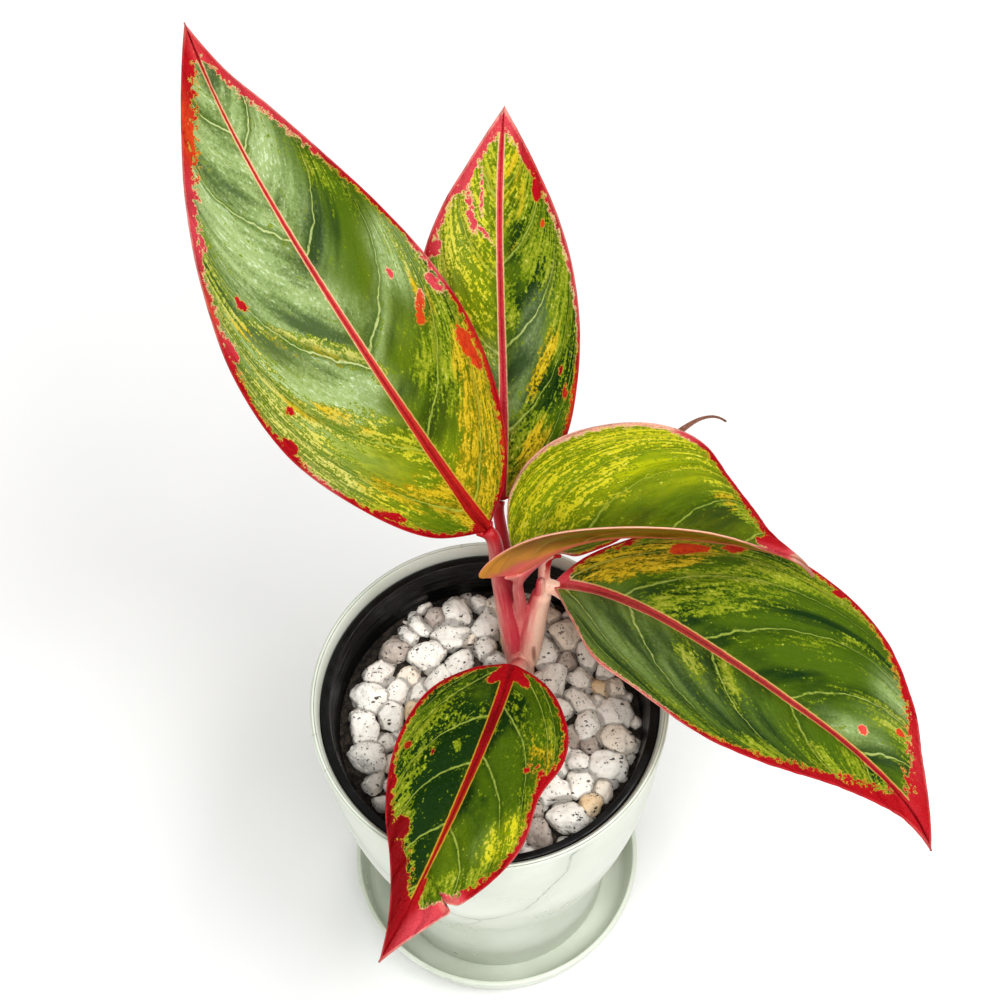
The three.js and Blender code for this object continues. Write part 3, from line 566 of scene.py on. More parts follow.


# Painted areas of each blade: (along, out, half-length, half-width, turn in degrees, amount)
# The grey-green sheen layer is painted sheen, where the gloss would reflect the light
PAINT = {
    "leaf_back_left": dict(
        patch=[(49, 28.6, 4, 1.6, 6, 0.8), (57, 28.8, 5, 2.2, 6, 0.95), (75, 23, 5, 1.8, 35, 0.75),
            (70, 21, 2.5, 0.9, 0, 0.7), (78, 30.8, 5, 1.8, -4, 0.75), (106, -26, 3, 1.2, -8, 1),
            (71, -32, 1.8, 1.3, 0, 1), (62, -38.5, 3, 2, 0, 1), (96, -36.5, 4, 1.6, 10, 1),
            (25, -24, 5, 1.6, -38, 0.8), (128, -26, 5, 1, 10, 0.7), (157, -13, 6, 1.2, 22, 0.8),
            (89, 20.5, 1.5, 1.2, 0, 1), (2, -2, 4, 2, -50, 0.8), (156, 13, 5, 1.6, -20, 0.5)],
        pink=[(128, -28, 26, 8, 15, 0.8), (155, 12, 26, 6, -20, 0.6), (86, 25, 10, 10, 0, 1),
            (50, -34, 16, 6, 20, 0.6), (96, -34, 12, 4, 10, 0.4), (78, 31, 6, 3, 0, 0.6),
            (60, 0, 60, 3.2, 0, 0.35), (130, 0, 60, 2.6, 0, 0.6)],
        gold=[(24, 16, 28, 10, 32, 0.9), (46, 26, 18, 5, 14, 1), (75, 23, 8, 5, 30, 0.8),
            (24, -12, 24, 8, -38, 0.6), (10, 4, 12, 6, 20, 0.7), (62, -22, 20, 4, -38, 0.5),
            (85, -18, 26, 3, -40, 0.5)],
        painted_sheen=[(128, -13, 62, 12, 4, 1), (84, -20, 30, 13, -16, 0.75), (100, -8, 24, 6, -35, 0.9),
            (90, 26, 12, 7, 10, 1), (150, 4, 40, 8, 0, 1), (44, -29, 10, 4, -20, 0.8),
            (76, 8, 22, 3, 38, 0.6), (70, -35, 36, 6, 0, 0.9), (68, -24, 12, 5, -20, 0.9),
            (97, 25, 10, 5, 0, 0.9), (68, -4, 14, 4, -30, 0.6)],
        lime=[(46, -26, 36, 12, -10, 0.6), (40, -10, 30, 8, -30, 0.35), (26, 16, 30, 10, 30, 0.35),
            (70, 12, 40, 12, 20, 0.12)],
        flecks=[(20, 14, 30, 11, 32, 1), (40, 25, 20, 8, 18, 0.9), (62, 22, 16, 8, 15, 0.7),
            (24, -11, 28, 7, -36, 1), (50, -13, 20, 5, -40, 1.2), (36, -5, 12, 3, -30, 1.1),
            (54, 14, 10, 5, 40, 0.7), (62, -22, 20, 3, -38, 0.7), (85, -15, 26, 2.4, -40, 1.1),
            (64, -34, 34, 6, 0, 1.1), (34, -28, 14, 5, -30, 1.2), (38, -16, 7, 4, -30, -1.6),
            (120, -29, 20, 4, 12, 0.7), (84, 28, 18, 4, 0, 0.8), (127, 18, 12, 3, -16, 0.8),
            (70, -4, 14, 3, -30, 0.6)],
        deep=[(40, 8, 16, 4, 40, 0.3), (70, 16, 16, 5, 30, 0.2), (120, -31, 16, 2, 10, 0.5),
            (37, -17, 6, 3, -30, 1), (116, 8, 14, 3, 25, 0.5), (12, -3, 16, 3, -10, 0.4),
            (134, -20, 12, 2.4, -22, 0.5), (112, -14, 14, 2.4, -36, 0.3)],
        orange=[(55, 28, 12, 4, 5, 0.8), (74, 22, 8, 4, 0, 1), (22, 20, 14, 3, 50, 0.4),
            (70, 0, 110, 2.6, 0, 0.25), (160, -13, 14, 3, 12, 0.7), (112, -34, 10, 3, 8, 0.5)]),
    "leaf_back": dict(
        patch=[(110, -10.5, 8, 2.2, 22, 1), (96, -9.5, 8, 1.6, -6, 0.62), (89, -5, 5, 1, -40, 0.6),
            (102, -6, 8, 0.8, 0, 0.6), (92.5, 14, 1.8, 0.7, 0, 0.95), (104, 12, 4, 1.5, 0, 1),
            (114, 8, 4, 1.6, -38, 0.8), (44, 19, 1.5, 0.8, 0, 1), (37, 20.5, 3, 0.8, 0, 0.9),
            (85, -21, 3, 2, 20, 0.9), (129, 0, 3, 3, 0, 1), (72, -20, 3, 2, 0, 0.5)],
        pink=[(100, -8, 28, 9, 10, 0.9), (80, 21, 30, 4, -10, 0.7), (60, 0, 80, 3, 0, 0.6),
            (46, -2, 10, 2.6, -12, 1), (120, 4, 14, 10, 0, 0.35), (88, -20, 10, 4, 20, 0.4)],
        gold=[(8, 5, 14, 6, 20, 0.6), (22, 14, 8, 5, 20, 0.6), (46, 13, 12, 2.6, 22, 1),
            (104, 4, 22, 4, 0, 0.4), (95, 10, 14, 4, -10, 0.2)],
        painted_sheen=[(40, 6, 20, 4, 22, 0.5), (62, 10, 14, 3, 25, 0.45), (84, -15, 22, 6, 20, 0.35),
            (45, -3, 8, 3, -15, 0.9)],
        lime=[(75, -12, 50, 10, 4, 0.6), (112, 4, 12, 4, 0, 0.5)],
        flecks=[(5, 5, 9, 4, 10, 1.3), (21, 9, 10, 7, 20, 1), (63, 4, 8, 3, 0, 0.8),
            (77, -12, 8, 4, 0, -0.5), (77, 5, 10, 3, 0, -0.5), (70, -12, 56, 12, 8, 0.95),
            (100, -8, 20, 8, 10, 1), (68, 20, 26, 4, 0, 0.85), (46, 13, 12, 2.4, 22, 1),
            (90, 11, 26, 7, -12, 0.7), (112, 5, 14, 5, 0, 0.95), (20, 8, 12, 6, 20, 0.6),
            (80, 8, 14, 3, 30, 0.55)],
        deep=[(74, 14, 26, 4, 14, 1), (36, 14, 18, 4, 35, 0.9), (80, 5, 18, 2.4, 0, 0.6)],
        orange=[(36, 22, 12, 2, 0, 0.6), (92, 14, 4, 2, 0, 1)]),
    "leaf_right_folded": dict(
        patch=[(93, -3, 5, 2, -5, 1), (104, 0, 8, 4, 0, 1)],
        pink=[(14, -24, 34, 20, -30, 2), (48, -38, 10, 6, 0, 1.6), (60, -36, 8, 6, 0, 0.8),
            (50, 0, 80, 2.4, 0, 0.9), (40, 34, 60, 14, 0, 2), (108, 0, 6, 4, 0, 2)],
        gold=[(24, -22, 28, 8, -36, 0.15), (75, -15, 5, 2, 0, 0.6), (78, -12, 3, 2, 0, 0.5)],
        lime=[(26, -26, 32, 14, -24, 1), (52, -28, 34, 9, 0, 0.95), (40, -12, 30, 4, -14, 0.3),
            (50, 24, 80, 24, 0, 0.8)],
        flecks=[(20, -20, 28, 12, -40, 1.7), (42, -32, 30, 5, -4, 1.6), (34, -20, 20, 4, -38, 1.4),
            (62, -28, 16, 4, 26, 0.8), (75, -15, 8, 3, 20, 1), (86, -8, 8, 2, 30, 0.8),
            (20, -8, 18, 4, -40, 0.9), (45, -14, 30, 3, -30, 0.5)],
        deep=[(72, -6, 26, 4, 0, 0.2), (50, -5, 22, 4, -6, 0.3)],
        orange=[(108, 0, 6, 6, 0, -0.5)]),
    "leaf_right_low": dict(
        patch=[(2, -1.5, 3.4, 2.4, -45, 1), (33, -24, 4, 1.9, -40, 1), (38, -27, 3, 1.2, -40, 0.8),
            (46, -32.5, 3.4, 1.4, -30, 1), (81, -39.5, 2.5, 1.2, 0, 1), (112, -7, 1.8, 1.2, 0, 1),
            (121.5, -14.5, 2, 1, 0, 1), (7, -12, 9, 1.8, -62, 1), (146, 0, 8, 5, 0, 1),
            (136, -4, 10, 0.7, 20, 0.6), (18, -18, 5, 1, -50, 0.6)],
        pink=[(60, 0, 100, 3.6, 0, 0.4), (130, -12, 14, 6, 30, 0.35), (112, -7, 4, 3, 0, 1),
            (20, 10, 16, 8, 0, 0.5), (10, 10, 14, 6, 60, 1.4), (38, 29, 26, 6, 20, 1.4)],
        gold=[(24, -14, 18, 5, -40, 1), (10, -7, 8, 4, -40, 1), (30, -20, 12, 4, -40, 1),
            (70, -38, 8, 2, 0, 0.4)],
        painted_sheen=[(115, -22, 9, 5, 20, 0.9), (112, -5, 12, 3.4, -8, 0.8), (28, 14, 34, 14, 12, 0.36),
            (60, 14, 30, 10, 0, 0.12), (112, -13, 8, 3, 0, 0.3)],
        flecks=[(18, -12, 16, 6, -42, 1.1), (32, -20, 14, 5, -40, 1.1), (37, -5, 8, 3, -40, 0.6),
            (53, -20, 12, 4, -30, 0.7), (52, -33, 8, 3, 0, 0.8), (97, -31, 8, 3, 0, -0.6),
            (52, -26, 24, 2.6, -40, 0.85), (64, -33, 12, 4, -20, 0.85), (40, -8, 14, 3, -40, 0.55),
            (56, -14, 20, 2.2, -38, 0.7), (82, -20, 24, 2, -36, 0.55), (98, -29, 10, 1.6, 0, 0.9),
            (75, -37, 14, 2.4, 0, 0.8), (54, 10, 12, 3.4, 42, 0.95), (68, 8, 12, 3.4, 42, 0.95),
            (90, 23, 8, 2.4, -8, 1), (106, 12, 14, 3.4, 5, 0.9), (118, -14, 14, 4, 0, 0.85),
            (124, 5, 16, 4, 0, 0.8), (60, 28, 40, 3, 0, 0.3), (88, -38, 24, 1.6, 8, 0.8)],
        deep=[(60, -6, 18, 3.4, -6, 0.5), (35, -9, 14, 4, -40, 0.4), (84, 20, 30, 8, -5, 0.3),
            (120, 4, 14, 3, 0, 0.4), (90, -14, 14, 7, 0, -0.3)],
        orange=[(36, -25, 14, 4, -38, 0.7), (22, -14, 12, 2, -40, 0.5), (112, -7, 4, 3, 0, 0.6),
            (121, -14, 4, 3, 0, 0.6), (44, 0, 74, 2.6, 0, -0.3)]),
    "leaf_front": dict(
        patch=[(2, 0, 6, 3.5, 0, 1), (6, -5, 4, 1.6, -45, 1), (7, 4, 4, 1.6, 35, 1),
            (43, 22.5, 1.8, 1, 0, 1), (57, 22, 2.6, 1.2, -10, 1), (42, 14, 1.2, 0.7, 0, 0.9),
            (70, 13.5, 4, 3, 0, 1), (79, 8.5, 1.6, 0.8, -10, 1), (88, 5, 10, 2.4, -24, 1),
            (99, -1, 9, 5, 0, 1), (91, -9, 6, 3.4, 30, 1), (96, -3, 1.2, 0.7, 0, -1.4),
            (39, -23, 2.4, 2, 60, 0.6), (45, -23.5, 5, 1.2, 0, 0.8), (86, -1, 5, 1, 0, 0.9),
            (36, -20, 2, 4, 0, 0.45), (38, -17, 1, 1, 0, 0.6)],
        pink=[(96, -8, 14, 6, 20, 1), (60, -25, 14, 2, 0, 0.3), (85, -12, 3, 4, 0, 1.4)],
        gold=[(36, -21, 5, 5, 0, 0.9), (86, -1, 8, 3, 0, 0.4), (28, -18, 5, 6, 60, 0.4)],
        painted_sheen=[(65, -13, 5, 2.4, 0, 0.35)],
        lime=[(72, -6, 12, 5, -20, 0.12), (61, -19, 8, 4, 20, 0.8)],
        flecks=[(16, -6, 8, 3, -50, 0.6), (28, -17, 7, 7, 70, 0.6), (24, -20, 10, 3, -30, 0.3),
            (50, -20, 14, 2.6, 6, 0.5), (62, -19, 8, 4, 26, 1.2), (78, -12, 6, 4, 40, 1.2),
            (88, -3, 8, 3, 0, 0.9), (26, 11, 14, 3, 48, 0.6), (34, 21, 20, 3, 20, 0.75),
            (54, 19, 16, 3.6, -8, 0.8), (66, 14, 8, 3, -20, 0.85), (37, 8, 2.2, 1.6, 0, 1),
            (80, 5, 10, 2, -30, 0.75), (42, 15, 6, 3, 0, 0.6), (62, -14, 5, 2, 0, 0.7)],
        deep=[(45, 14, 60, 14, 0, 0.4), (52, -12, 40, 10, 0, -0.35), (88, 11, 24, 8, -24, 1.3),
            (56, 8, 30, 8, 8, 1.0), (30, 6, 20, 5, 40, 0.9), (20, -10, 12, 4, -40, 0.2),
            (12, -5, 12, 4, 0, -0.3)],
        orange=[(43, 22, 4, 2, 0, 0.5), (42, 14, 3, 2, 0, 0.8), (62, 0, 20, 1.4, 0, 0.5)]),
    "leaf_behind": dict(
        patch=[(66, 0, 16, 8, 0, 1), (0, 0, 3, 2, 0, 1)],
        pink=[(0, 0, 12, 7, 0, 2), (52, 0, 12, 8, 0, 0.6)],
        painted_sheen=[(30, 0, 8, 10, 0, 0.4)],
        lime=[(20, 0, 30, 20, 0, 0.5)],
        flecks=[(30, 4, 20, 8, 30, 0.5)],
        orange=[(70, 0, 16, 9, 0, -1)]),
}

# Width in mm of the crimson margin at places along the blade, left and right, and half the midrib's
MARGINS = {
    "leaf_back_left": (
        {0: 3, 10: 2.4, 30: 1.8, 45: 1.2, 60: 2.2, 75: 1.2, 95: 2.0, 115: 1.4, 135: 2.2, 150: 2.6, 170: 2.4,
            182: 3, 190: 6},
        {0: 3, 15: 2.2, 40: 2, 55: 2.2, 70: 1.2, 85: 1.4, 100: 0.9, 130: 1.2, 145: 1.6, 160: 2, 175: 1.8,
            182: 3, 190: 6},
        {0: 2.6, 20: 1.9, 60: 1.2, 100: 0.8, 140: 0.45, 170: 0.3, 190: 0.8},
    ),
    "leaf_back": (
        {0: 2, 60: 1.4, 85: 1.8, 100: 1.1, 112: 1.4, 122: 1.6, 130: 4},
        {0: 1.4, 22: 1.4, 34: 1.6, 50: 0.8, 70: 1.0, 90: 1.1, 105: 1.2, 120: 1.4, 130: 4},
        {0: 2, 40: 1.1, 80: 0.9, 110: 0.9, 122: 0.8, 130: 1},
    ),
    "leaf_right_folded": (
        {0: 1, 10: 1.3, 30: 1.4, 50: 0.9, 65: 1.6, 80: 1.6, 90: 3, 113: 8},
        {0: 1.5, 60: 1.5, 90: 4, 113: 8},
        {0: 1.6, 50: 0.5, 90: 0.5, 113: 2},
    ),
    "leaf_right_low": (
        {0: 3, 12: 1.6, 25: 0.8, 70: 1.0, 100: 1.1, 118: 1.8, 130: 2.6, 142: 5, 156: 8},
        {0: 0.6, 30: 0.7, 60: 0.7, 80: 1.2, 95: 2.0, 112: 2.4, 125: 2.6, 136: 4, 156: 8},
        {0: 2.2, 20: 1.7, 60: 1.3, 100: 0.9, 130: 0.9, 156: 3},
    ),
    "leaf_front": (
        {0: 3, 8: 2.0, 25: 1.6, 40: 1.8, 55: 1.6, 70: 1.6, 84: 3, 95: 6, 112: 10},
        {0: 3, 8: 2.0, 22: 1.6, 40: 1.0, 60: 1.6, 72: 3.2, 90: 4, 100: 8, 112: 10},
        {0: 3.2, 8: 2.0, 30: 1.5, 60: 0.9, 75: 0.5, 95: 0.4, 112: 2},
    ),
    "leaf_behind": (
        {0: 0.5, 40: 0.8, 81: 3},
        {0: 0.5, 40: 0.8, 81: 3},
        {0: 2, 8: 1.6, 16: 1.2, 81: 0.6},
    ),
}

# The layers of PAINT, in the order that blade takes them
LAYERS = ("patch", "pink", "gold", "painted_sheen", "lime", "flecks", "deep", "orange")

# Distance across the side veins for each mm along the midrib
SLANT = 0.62

# The tear in the front leaf's margin, and where the leaf behind narrows to its dried tail, in mm
TEAR_AT = 86
TEAR_DEPTH = 4.6
TAIL_AT = 44
TAIL_TAPER = 8

# The blades' grid: mm between its rows, and its columns on each half
ROW_STEP = 0.95
HALF_COLUMNS = 30

# How far apart the leaves lie in the noise that colours them
SEED_STEP = 40.0


def blobs(areas, along, out):
    """Sum of soft oval areas over the flat blade."""
    total = np.zeros(along.shape)
    top = max([1] + [area[5] for area in areas])
    low = min([0] + [area[5] for area in areas])
    for a, b, length, width, turn, amount in areas:
        c, s = math.cos(math.radians(turn)), math.sin(math.radians(turn))
        x = ((along - a) * c + (out - b) * s) / length
        y = (-(along - a) * s + (out - b) * c) / width
        total += amount * np.exp(-0.7 * (x * x + y * y) ** 1.5)
    return np.clip(total, low, top)


def table(widths, at):
    return np.interp(at, list(widths), list(widths.values()))


def vein_place(along, out, width, length):
    """How far along the midrib the side vein through this place starts."""
    s = np.clip(np.abs(out) / width, 0, 1)
    lean = 1 + 0.5 * np.clip(along / length - 0.35, 0, 1)
    return along - np.abs(out) * (0.85 + 0.9 * s**2 + 0.7 * s**8) * lean


def number_of(place, veins):
    """The number of the vein that starts at this place, with a share of the way to the next one."""
    veins = [veins[0] - 60, veins[0] - 40, veins[0] - 20] + veins
    return np.interp(place, veins, np.arange(len(veins)))


def spacing_of(place, veins):
    """Distance along the midrib between the two veins at this place, without jumps."""
    middles = [(a + b) / 2 for a, b in zip(veins, veins[1:])]
    return np.interp(place, middles, np.diff(veins))


def margins(name, shape, t):
    """Both margins of a blade, (along, out) at each t, with the front leaf's tear and the tail."""
    left, right = shape.margin("left", t), shape.margin("right", t)
    if name == "leaf_front":
        torn = np.abs(left[:, 0] - TEAR_AT).argmin()
        left[torn - 1:torn + 2, 1] -= (0.6, TEAR_DEPTH, 0.9)
        left[torn + 1:torn + 4, 1] += (0.5, 0.4, 0.2)
    if name == "leaf_behind":
        for margin in (left, right):
            margin[:, 1] *= 1 - 0.5 * np.clip((margin[:, 0] - TAIL_AT) / TAIL_TAPER, 0, 1)
    return left, right


def blade(name, skins):
    given = BLADES[name]
    shape = Blade(name)
    rows = int(shape.length / ROW_STEP) + 1
    t = np.linspace(0, 1, rows)
    spread = np.linspace(0, 1, HALF_COLUMNS + 1)
    spread = 0.35 * spread + 0.65 * (1 - np.cos(spread * math.pi)) / 2
    s = np.concatenate([-spread[::-1], spread[1:]])[None]
    k = np.abs(s)
    left, right = margins(name, shape, t)
    edge_along = np.where(s < 0, left[:, :1], right[:, :1])
    edge_out = np.where(s < 0, left[:, 1:], right[:, 1:])
    t = t[:, None]
    start = shape.length * t**ROW_BUNCHING
    along = start + (edge_along - start) * k
    out = np.sign(s) * edge_out * k

    place = vein_place(along, out, edge_out, shape.length)
    number = np.where(out < 0, *(number_of(place, veins) for veins in given["veins"]))
    spacing = np.where(out < 0, *(spacing_of(place, veins) for veins in given["veins"])) * SLANT
    nearest = np.abs((number + 0.5) % 1 - 0.5) * spacing
    swell = 1 - (1 - np.clip(nearest / 8, 0, 1)) ** 2
    quilt = given["quilt"] * swell * np.clip(k * 5, 0, 1) * np.clip((1 - k) * 2.5, 0, 1)
    pleats = [noise.noise(Vector((p * 0.16, o * 0.05, 3.1))) for p, o in zip(place.ravel(), out.ravel())]
    quilt = quilt + 0.5 * given["quilt"] * np.array(pleats).reshape(place.shape) * np.clip(k * 4, 0, 1)
    channel = -0.45 * np.exp(-((out / 2.2) ** 2)) * (1 - 0.7 * t)
    ridge = 0.25 * np.exp(-((out / 0.8) ** 2)) * (1 - 0.7 * t)
    keel = (1.5 - 1.2 * t**0.7) * np.exp(-((out / (2.1 - 1.3 * t)) ** 2))
    thin = 0.5 * THICKNESS * np.clip(0.45 + (1 - k) * 8, 0, 1)
    top = shape.at(along, out, thin + quilt + channel + ridge)
    under = shape.at(along, out, -thin + quilt - keel)

    # the top and the rim wear the first skin, the underside the second one
    grid = np.arange(along.size).reshape(along.shape)
    rim = np.concatenate([grid[0], grid[1:, -1], grid[-1, -2::-1], grid[-2:0:-1, 0]]).tolist()
    faces = quads(*along.shape)
    below = [tuple(i + along.size for i in (a, d, c, b)) for a, b, c, d in faces]
    faces += [(b, a, a + along.size, b + along.size) for a, b in zip(rim, rim[1:] + rim[:1])]
    slots = [0] * len(faces) + [1] * len(below)
    points = np.concatenate([top.reshape(-1, 3), under.reshape(-1, 3)])
    piece = mesh_object(name + "_blade", points, faces + below)
    piece.data.polygons.foreach_set("material_index", slots)

    def keep(key, *layers):
        """Stores the layers for the top, and once more for the underside."""
        store(piece, key, *(np.tile(layer.ravel(), 2) for layer in layers))

    edge = np.minimum((1 - k) * edge_out, (shape.length - along) * 0.6 + 0.2)
    left_width, right_width, rib = (table(widths, along) for widths in MARGINS[name])
    margin = np.where(out < 0, left_width, right_width)
    painted = (blobs(PAINT[name].get(layer, []), along, out) for layer in LAYERS)
    patch, pink, gold, painted_sheen, lime, flecks, deep, orange = painted
    flecks = flecks + 0.22 * np.exp(-((nearest / 1.6) ** 2)) + 0.3 * np.exp(-edge / 3)
    seed = SEED_STEP * list(BLADES).index(name)
    swept = along + (place - along) * given.get("sweep", 1)
    keep("flat", along + seed, out, edge)
    keep("stroke", swept * SLANT + seed, out * given["stroke"], along)
    keep("vein", number, spacing, rib)
    keep("red", margin, patch, pink)
    # tone holds the gold, the painted sheen and the lime
    keep("tone", gold, painted_sheen, lime)
    keep("mark", np.clip(flecks, 0, 1), deep, orange)
    settle(piece, "leaf", name, *skins)


# Stem, as in the CAD, in mm
STEM_AT = (11, 20)
STEM_RADIUS = 4.6
STEM_Z = (104, 139)

# Each branch: its path, then its radius at the start and the end. Most paths were chosen from places
# that a scratch script worked out from points read off the photo.
BRANCHES = {
    "leaf_back_left": ([[10, 20.5, 135], [7.6, 27, 149], [6.1, 32, 160], [4.8, 35.5, 171]], 3.8, 2.2),
    "leaf_back": ([[11, 22, 137], [10.4, 29, 149], [8.8, 35.5, 159], [7.6, 43, 170]], 2.6, 1.8),
    "leaf_right_folded": (
        [[12, 22, 138], [11.6, 28, 151], [11.3, 29.5, 164], [10.8, 29.2, 176]], 2.7, 0.6),
    "leaf_right_low": ([[16.5, 28.5, 156], [18.8, 31, 163]], 2.6, 1.9),
    "leaf_front": ([[10.8, 18, 137], [9.8, 13.6, 146]], 3.6, 1.2),
    "leaf_behind": ([[16.5, 29, 157], [19, 32.5, 165]], 1.8, 2.3),
    "sheath": (
        [[12.2, 20.3, 137.5], [14.3, 23.5, 143], [16.2, 27.7, 153], [17.7, 30.5, 160], [19, 32, 166]],
        4.4, 3.3),
    "nub": ([[17.5, 29.8, 161], [18, 31.6, 167], [18.4, 33.4, 172]], 2.2, 1.3),
}

# How each petiole runs on under its blade: (mm along the midrib, mm off the blade)
RUN_ON = {
    "leaf_back_left": [(-5, 0), (-0.3, 0)],
    "leaf_back": [(-5, 0), (-0.3, 0)],
    "leaf_right_folded": [(0, -1.6), (5, -1.2), (10, -1), (15, -0.8)],
    "leaf_right_low": [(-4, 0), (1.6, -0.9)],
    "leaf_front": [(-1, -4), (2.6, -1.2)],
    "leaf_behind": [(-5, 0), (-0.3, 0)],
}

# Leaf scars on the lower stem: x and y in mm, and the height that they are near
SCARS = [(10.2, 17.4), (15.4, 19.6)]
SCARS_Z = 143

# How pale each branch is, how dark its red is, which is partly painted shade on petioles that stand in shade,
# over how many mm its end turns crimson, and how much paler it is painted on one side and darker red on the
# other, as painted light and shade; the side that is paler for amounts above 0 is an angle about the axis in
# radians
BRANCH_TONES = {
    "trunk": (0.65, 0, 0, 0.2), "leaf_back_left": (0.38, 0.4, 7, -0.3), "leaf_back": (0.1, 0.9, 26, 0),
    "leaf_right_folded": (0.4, 0.05, 0, -0.15), "leaf_right_low": (1.3, 0, 0, 0),
    "leaf_front": (0.5, 0.05, 0, 0.3), "leaf_behind": (0.8, 0, 12, 0), "sheath": (0.75, 0.05, 0, 0.6),
    "nub": (0.4, 0.4, 0, 0.4),
}
PAINTED_LIGHT_SIDE = -0.4

# Where the petioles flare into their blades: leaf, place on the branch, (along, out) below the blade
FLARES = [
    ("leaf_right_folded", 0.46, [
        (-0.5, 6), (-0.2, 4.5), (0, 3), (0.5, 1.5), (2, 0), (4, 0.4), (6.5, 0.4), (9.5, 0.3), (12.5, 0.2)]),
    ("leaf_back_left", 0.8, [(1, -3.2), (2.5, -2), (1, 3.2), (2.5, 2), (5, 0)]),
    ("leaf_right_low", 0.5, [(1.5, 3.4), (3.5, 5.5), (3, 1), (7, 0.5)]),
    ("leaf_behind", 0.7, [(1, -3), (1, 3), (3, 0)]),
]

# Points along the trunk, a branch and a web, and around each of them
TRUNK_STEPS = 40
BRANCH_STEPS = 48
WEB_STEPS = 14
TUBE_SIDES = 28

SKIN_VOXEL = 0.38
SKIN_SMOOTHINGS = 7


def branch_path(name):
    """Points along a branch and its radii there, run on a little way into its blade's midrib."""
    if name == "trunk":
        heights = np.linspace(STEM_Z[0] + 0.2, STEM_Z[1], TRUNK_STEPS)
        return np.array([(*STEM_AT, z) for z in heights]), np.full(TRUNK_STEPS, STEM_RADIUS - 0.05)
    path, thick, thin = BRANCHES[name]
    if name in BLADES:
        along, lift = np.array(RUN_ON[name], float).T
        path = path + Blade(name).at(along, np.zeros(len(along)), lift).tolist()
    t = np.linspace(0, 1, BRANCH_STEPS)
    radii = thick + (thin - thick) * t
    if name in ("sheath", "nub"):
        radii *= np.sqrt(np.clip((1.02 - t) / 0.12, 0.02, 1))
    return spline(path, t), radii


def flares():
    """Thin webs from the petioles to the undersides of their blades."""
    t = np.linspace(0, 1, WEB_STEPS)[:, None]
    for name, share, targets in FLARES:
        points, _ = branch_path(name)
        start = points[int(share * (len(points) - 1))]
        shape = Blade(name)
        root = shape.spot(0, 0, -1)
        for along, out in targets:
            end = shape.spot(along, out, -1)
            yield arc(start, (start + end) / 4 + root / 2, end, t), np.linspace(1.2, 0.75, WEB_STEPS)


def tube(points, radii, sides=TUBE_SIDES):
    ahead = unit(np.gradient(points, axis=0))
    across = unit(np.cross(ahead, [0.31, 0.95, 0.05]))
    up = np.cross(across, ahead)
    turn = circle(sides)[None, :, None]
    ring = np.cos(turn) * across[:, None] + np.sin(turn) * up[:, None]
    rings = points[:, None] + radii[:, None, None] * ring
    verts = list(rings.reshape(-1, 3)) + [points[0], points[-1]]
    faces = quads(len(points), sides, closed=True)
    last = (len(points) - 1) * sides
    for j in range(sides):
        k = (j + 1) % sides
        faces.append((k, j, last + sides))
        faces.append((last + j, last + k, last + sides + 1))
    return verts, faces


def stem_material():
    """'flow' holds the place along and around a branch in mm, and the scars; 'tint' how pale it is,
    how dark its red is, both with painted light on the lit side and painted shade on the shaded side, and how
    near its blade."""
    m = Material("stem", 0.34, Specular_IOR_Level=0.4, Subsurface_Weight=0.15,
                 Subsurface_Radius=(0.003, 0.001, 0.0008))
    mix, ramp = m.mix, m.ramp
    flow, _, _, scar = m.attribute("flow")
    _, pale, dark, end = m.attribute("tint")
    stripes = m.noise(m.stretch(flow, (0.1, 0.9, 1)), 1.0, 3, 0.55)
    cloud = m.noise(m.stretch(flow, (0.3, 0.35, 1)), 0.35, 3)
    base = mix(ramp(cloud, 0.35, 0.65), (204, 70, 84), (216, 100, 104))
    # darker red and paler cream from 'tint', which hold painted shade and painted light as well as the
    # branch's own tones
    colour = mix(dark * ramp(cloud, 0.25, 0.6, 0.6, 1), base, (168, 30, 52))
    colour = mix(ramp(pale + (stripes - 0.5) * 0.8, 0.1, 1.2), colour, (238, 200, 178))
    colour = mix(ramp(end, 0.1, 0.9), colour, CRIMSON)
    colour = mix(ramp(m.noise(flow, 1.6), 0.62, 0.7, 0, 0.3), colour, (186, 64, 70))
    colour = mix(scar * 0.7, colour, (122, 40, 38))
    normal = m.bump(stripes, 0.0003, 0.5)
    normal = m.bump(m.noise(flow, 1.4, 3), 0.0002, 0.4, normal)
    return m.done(colour, normal)


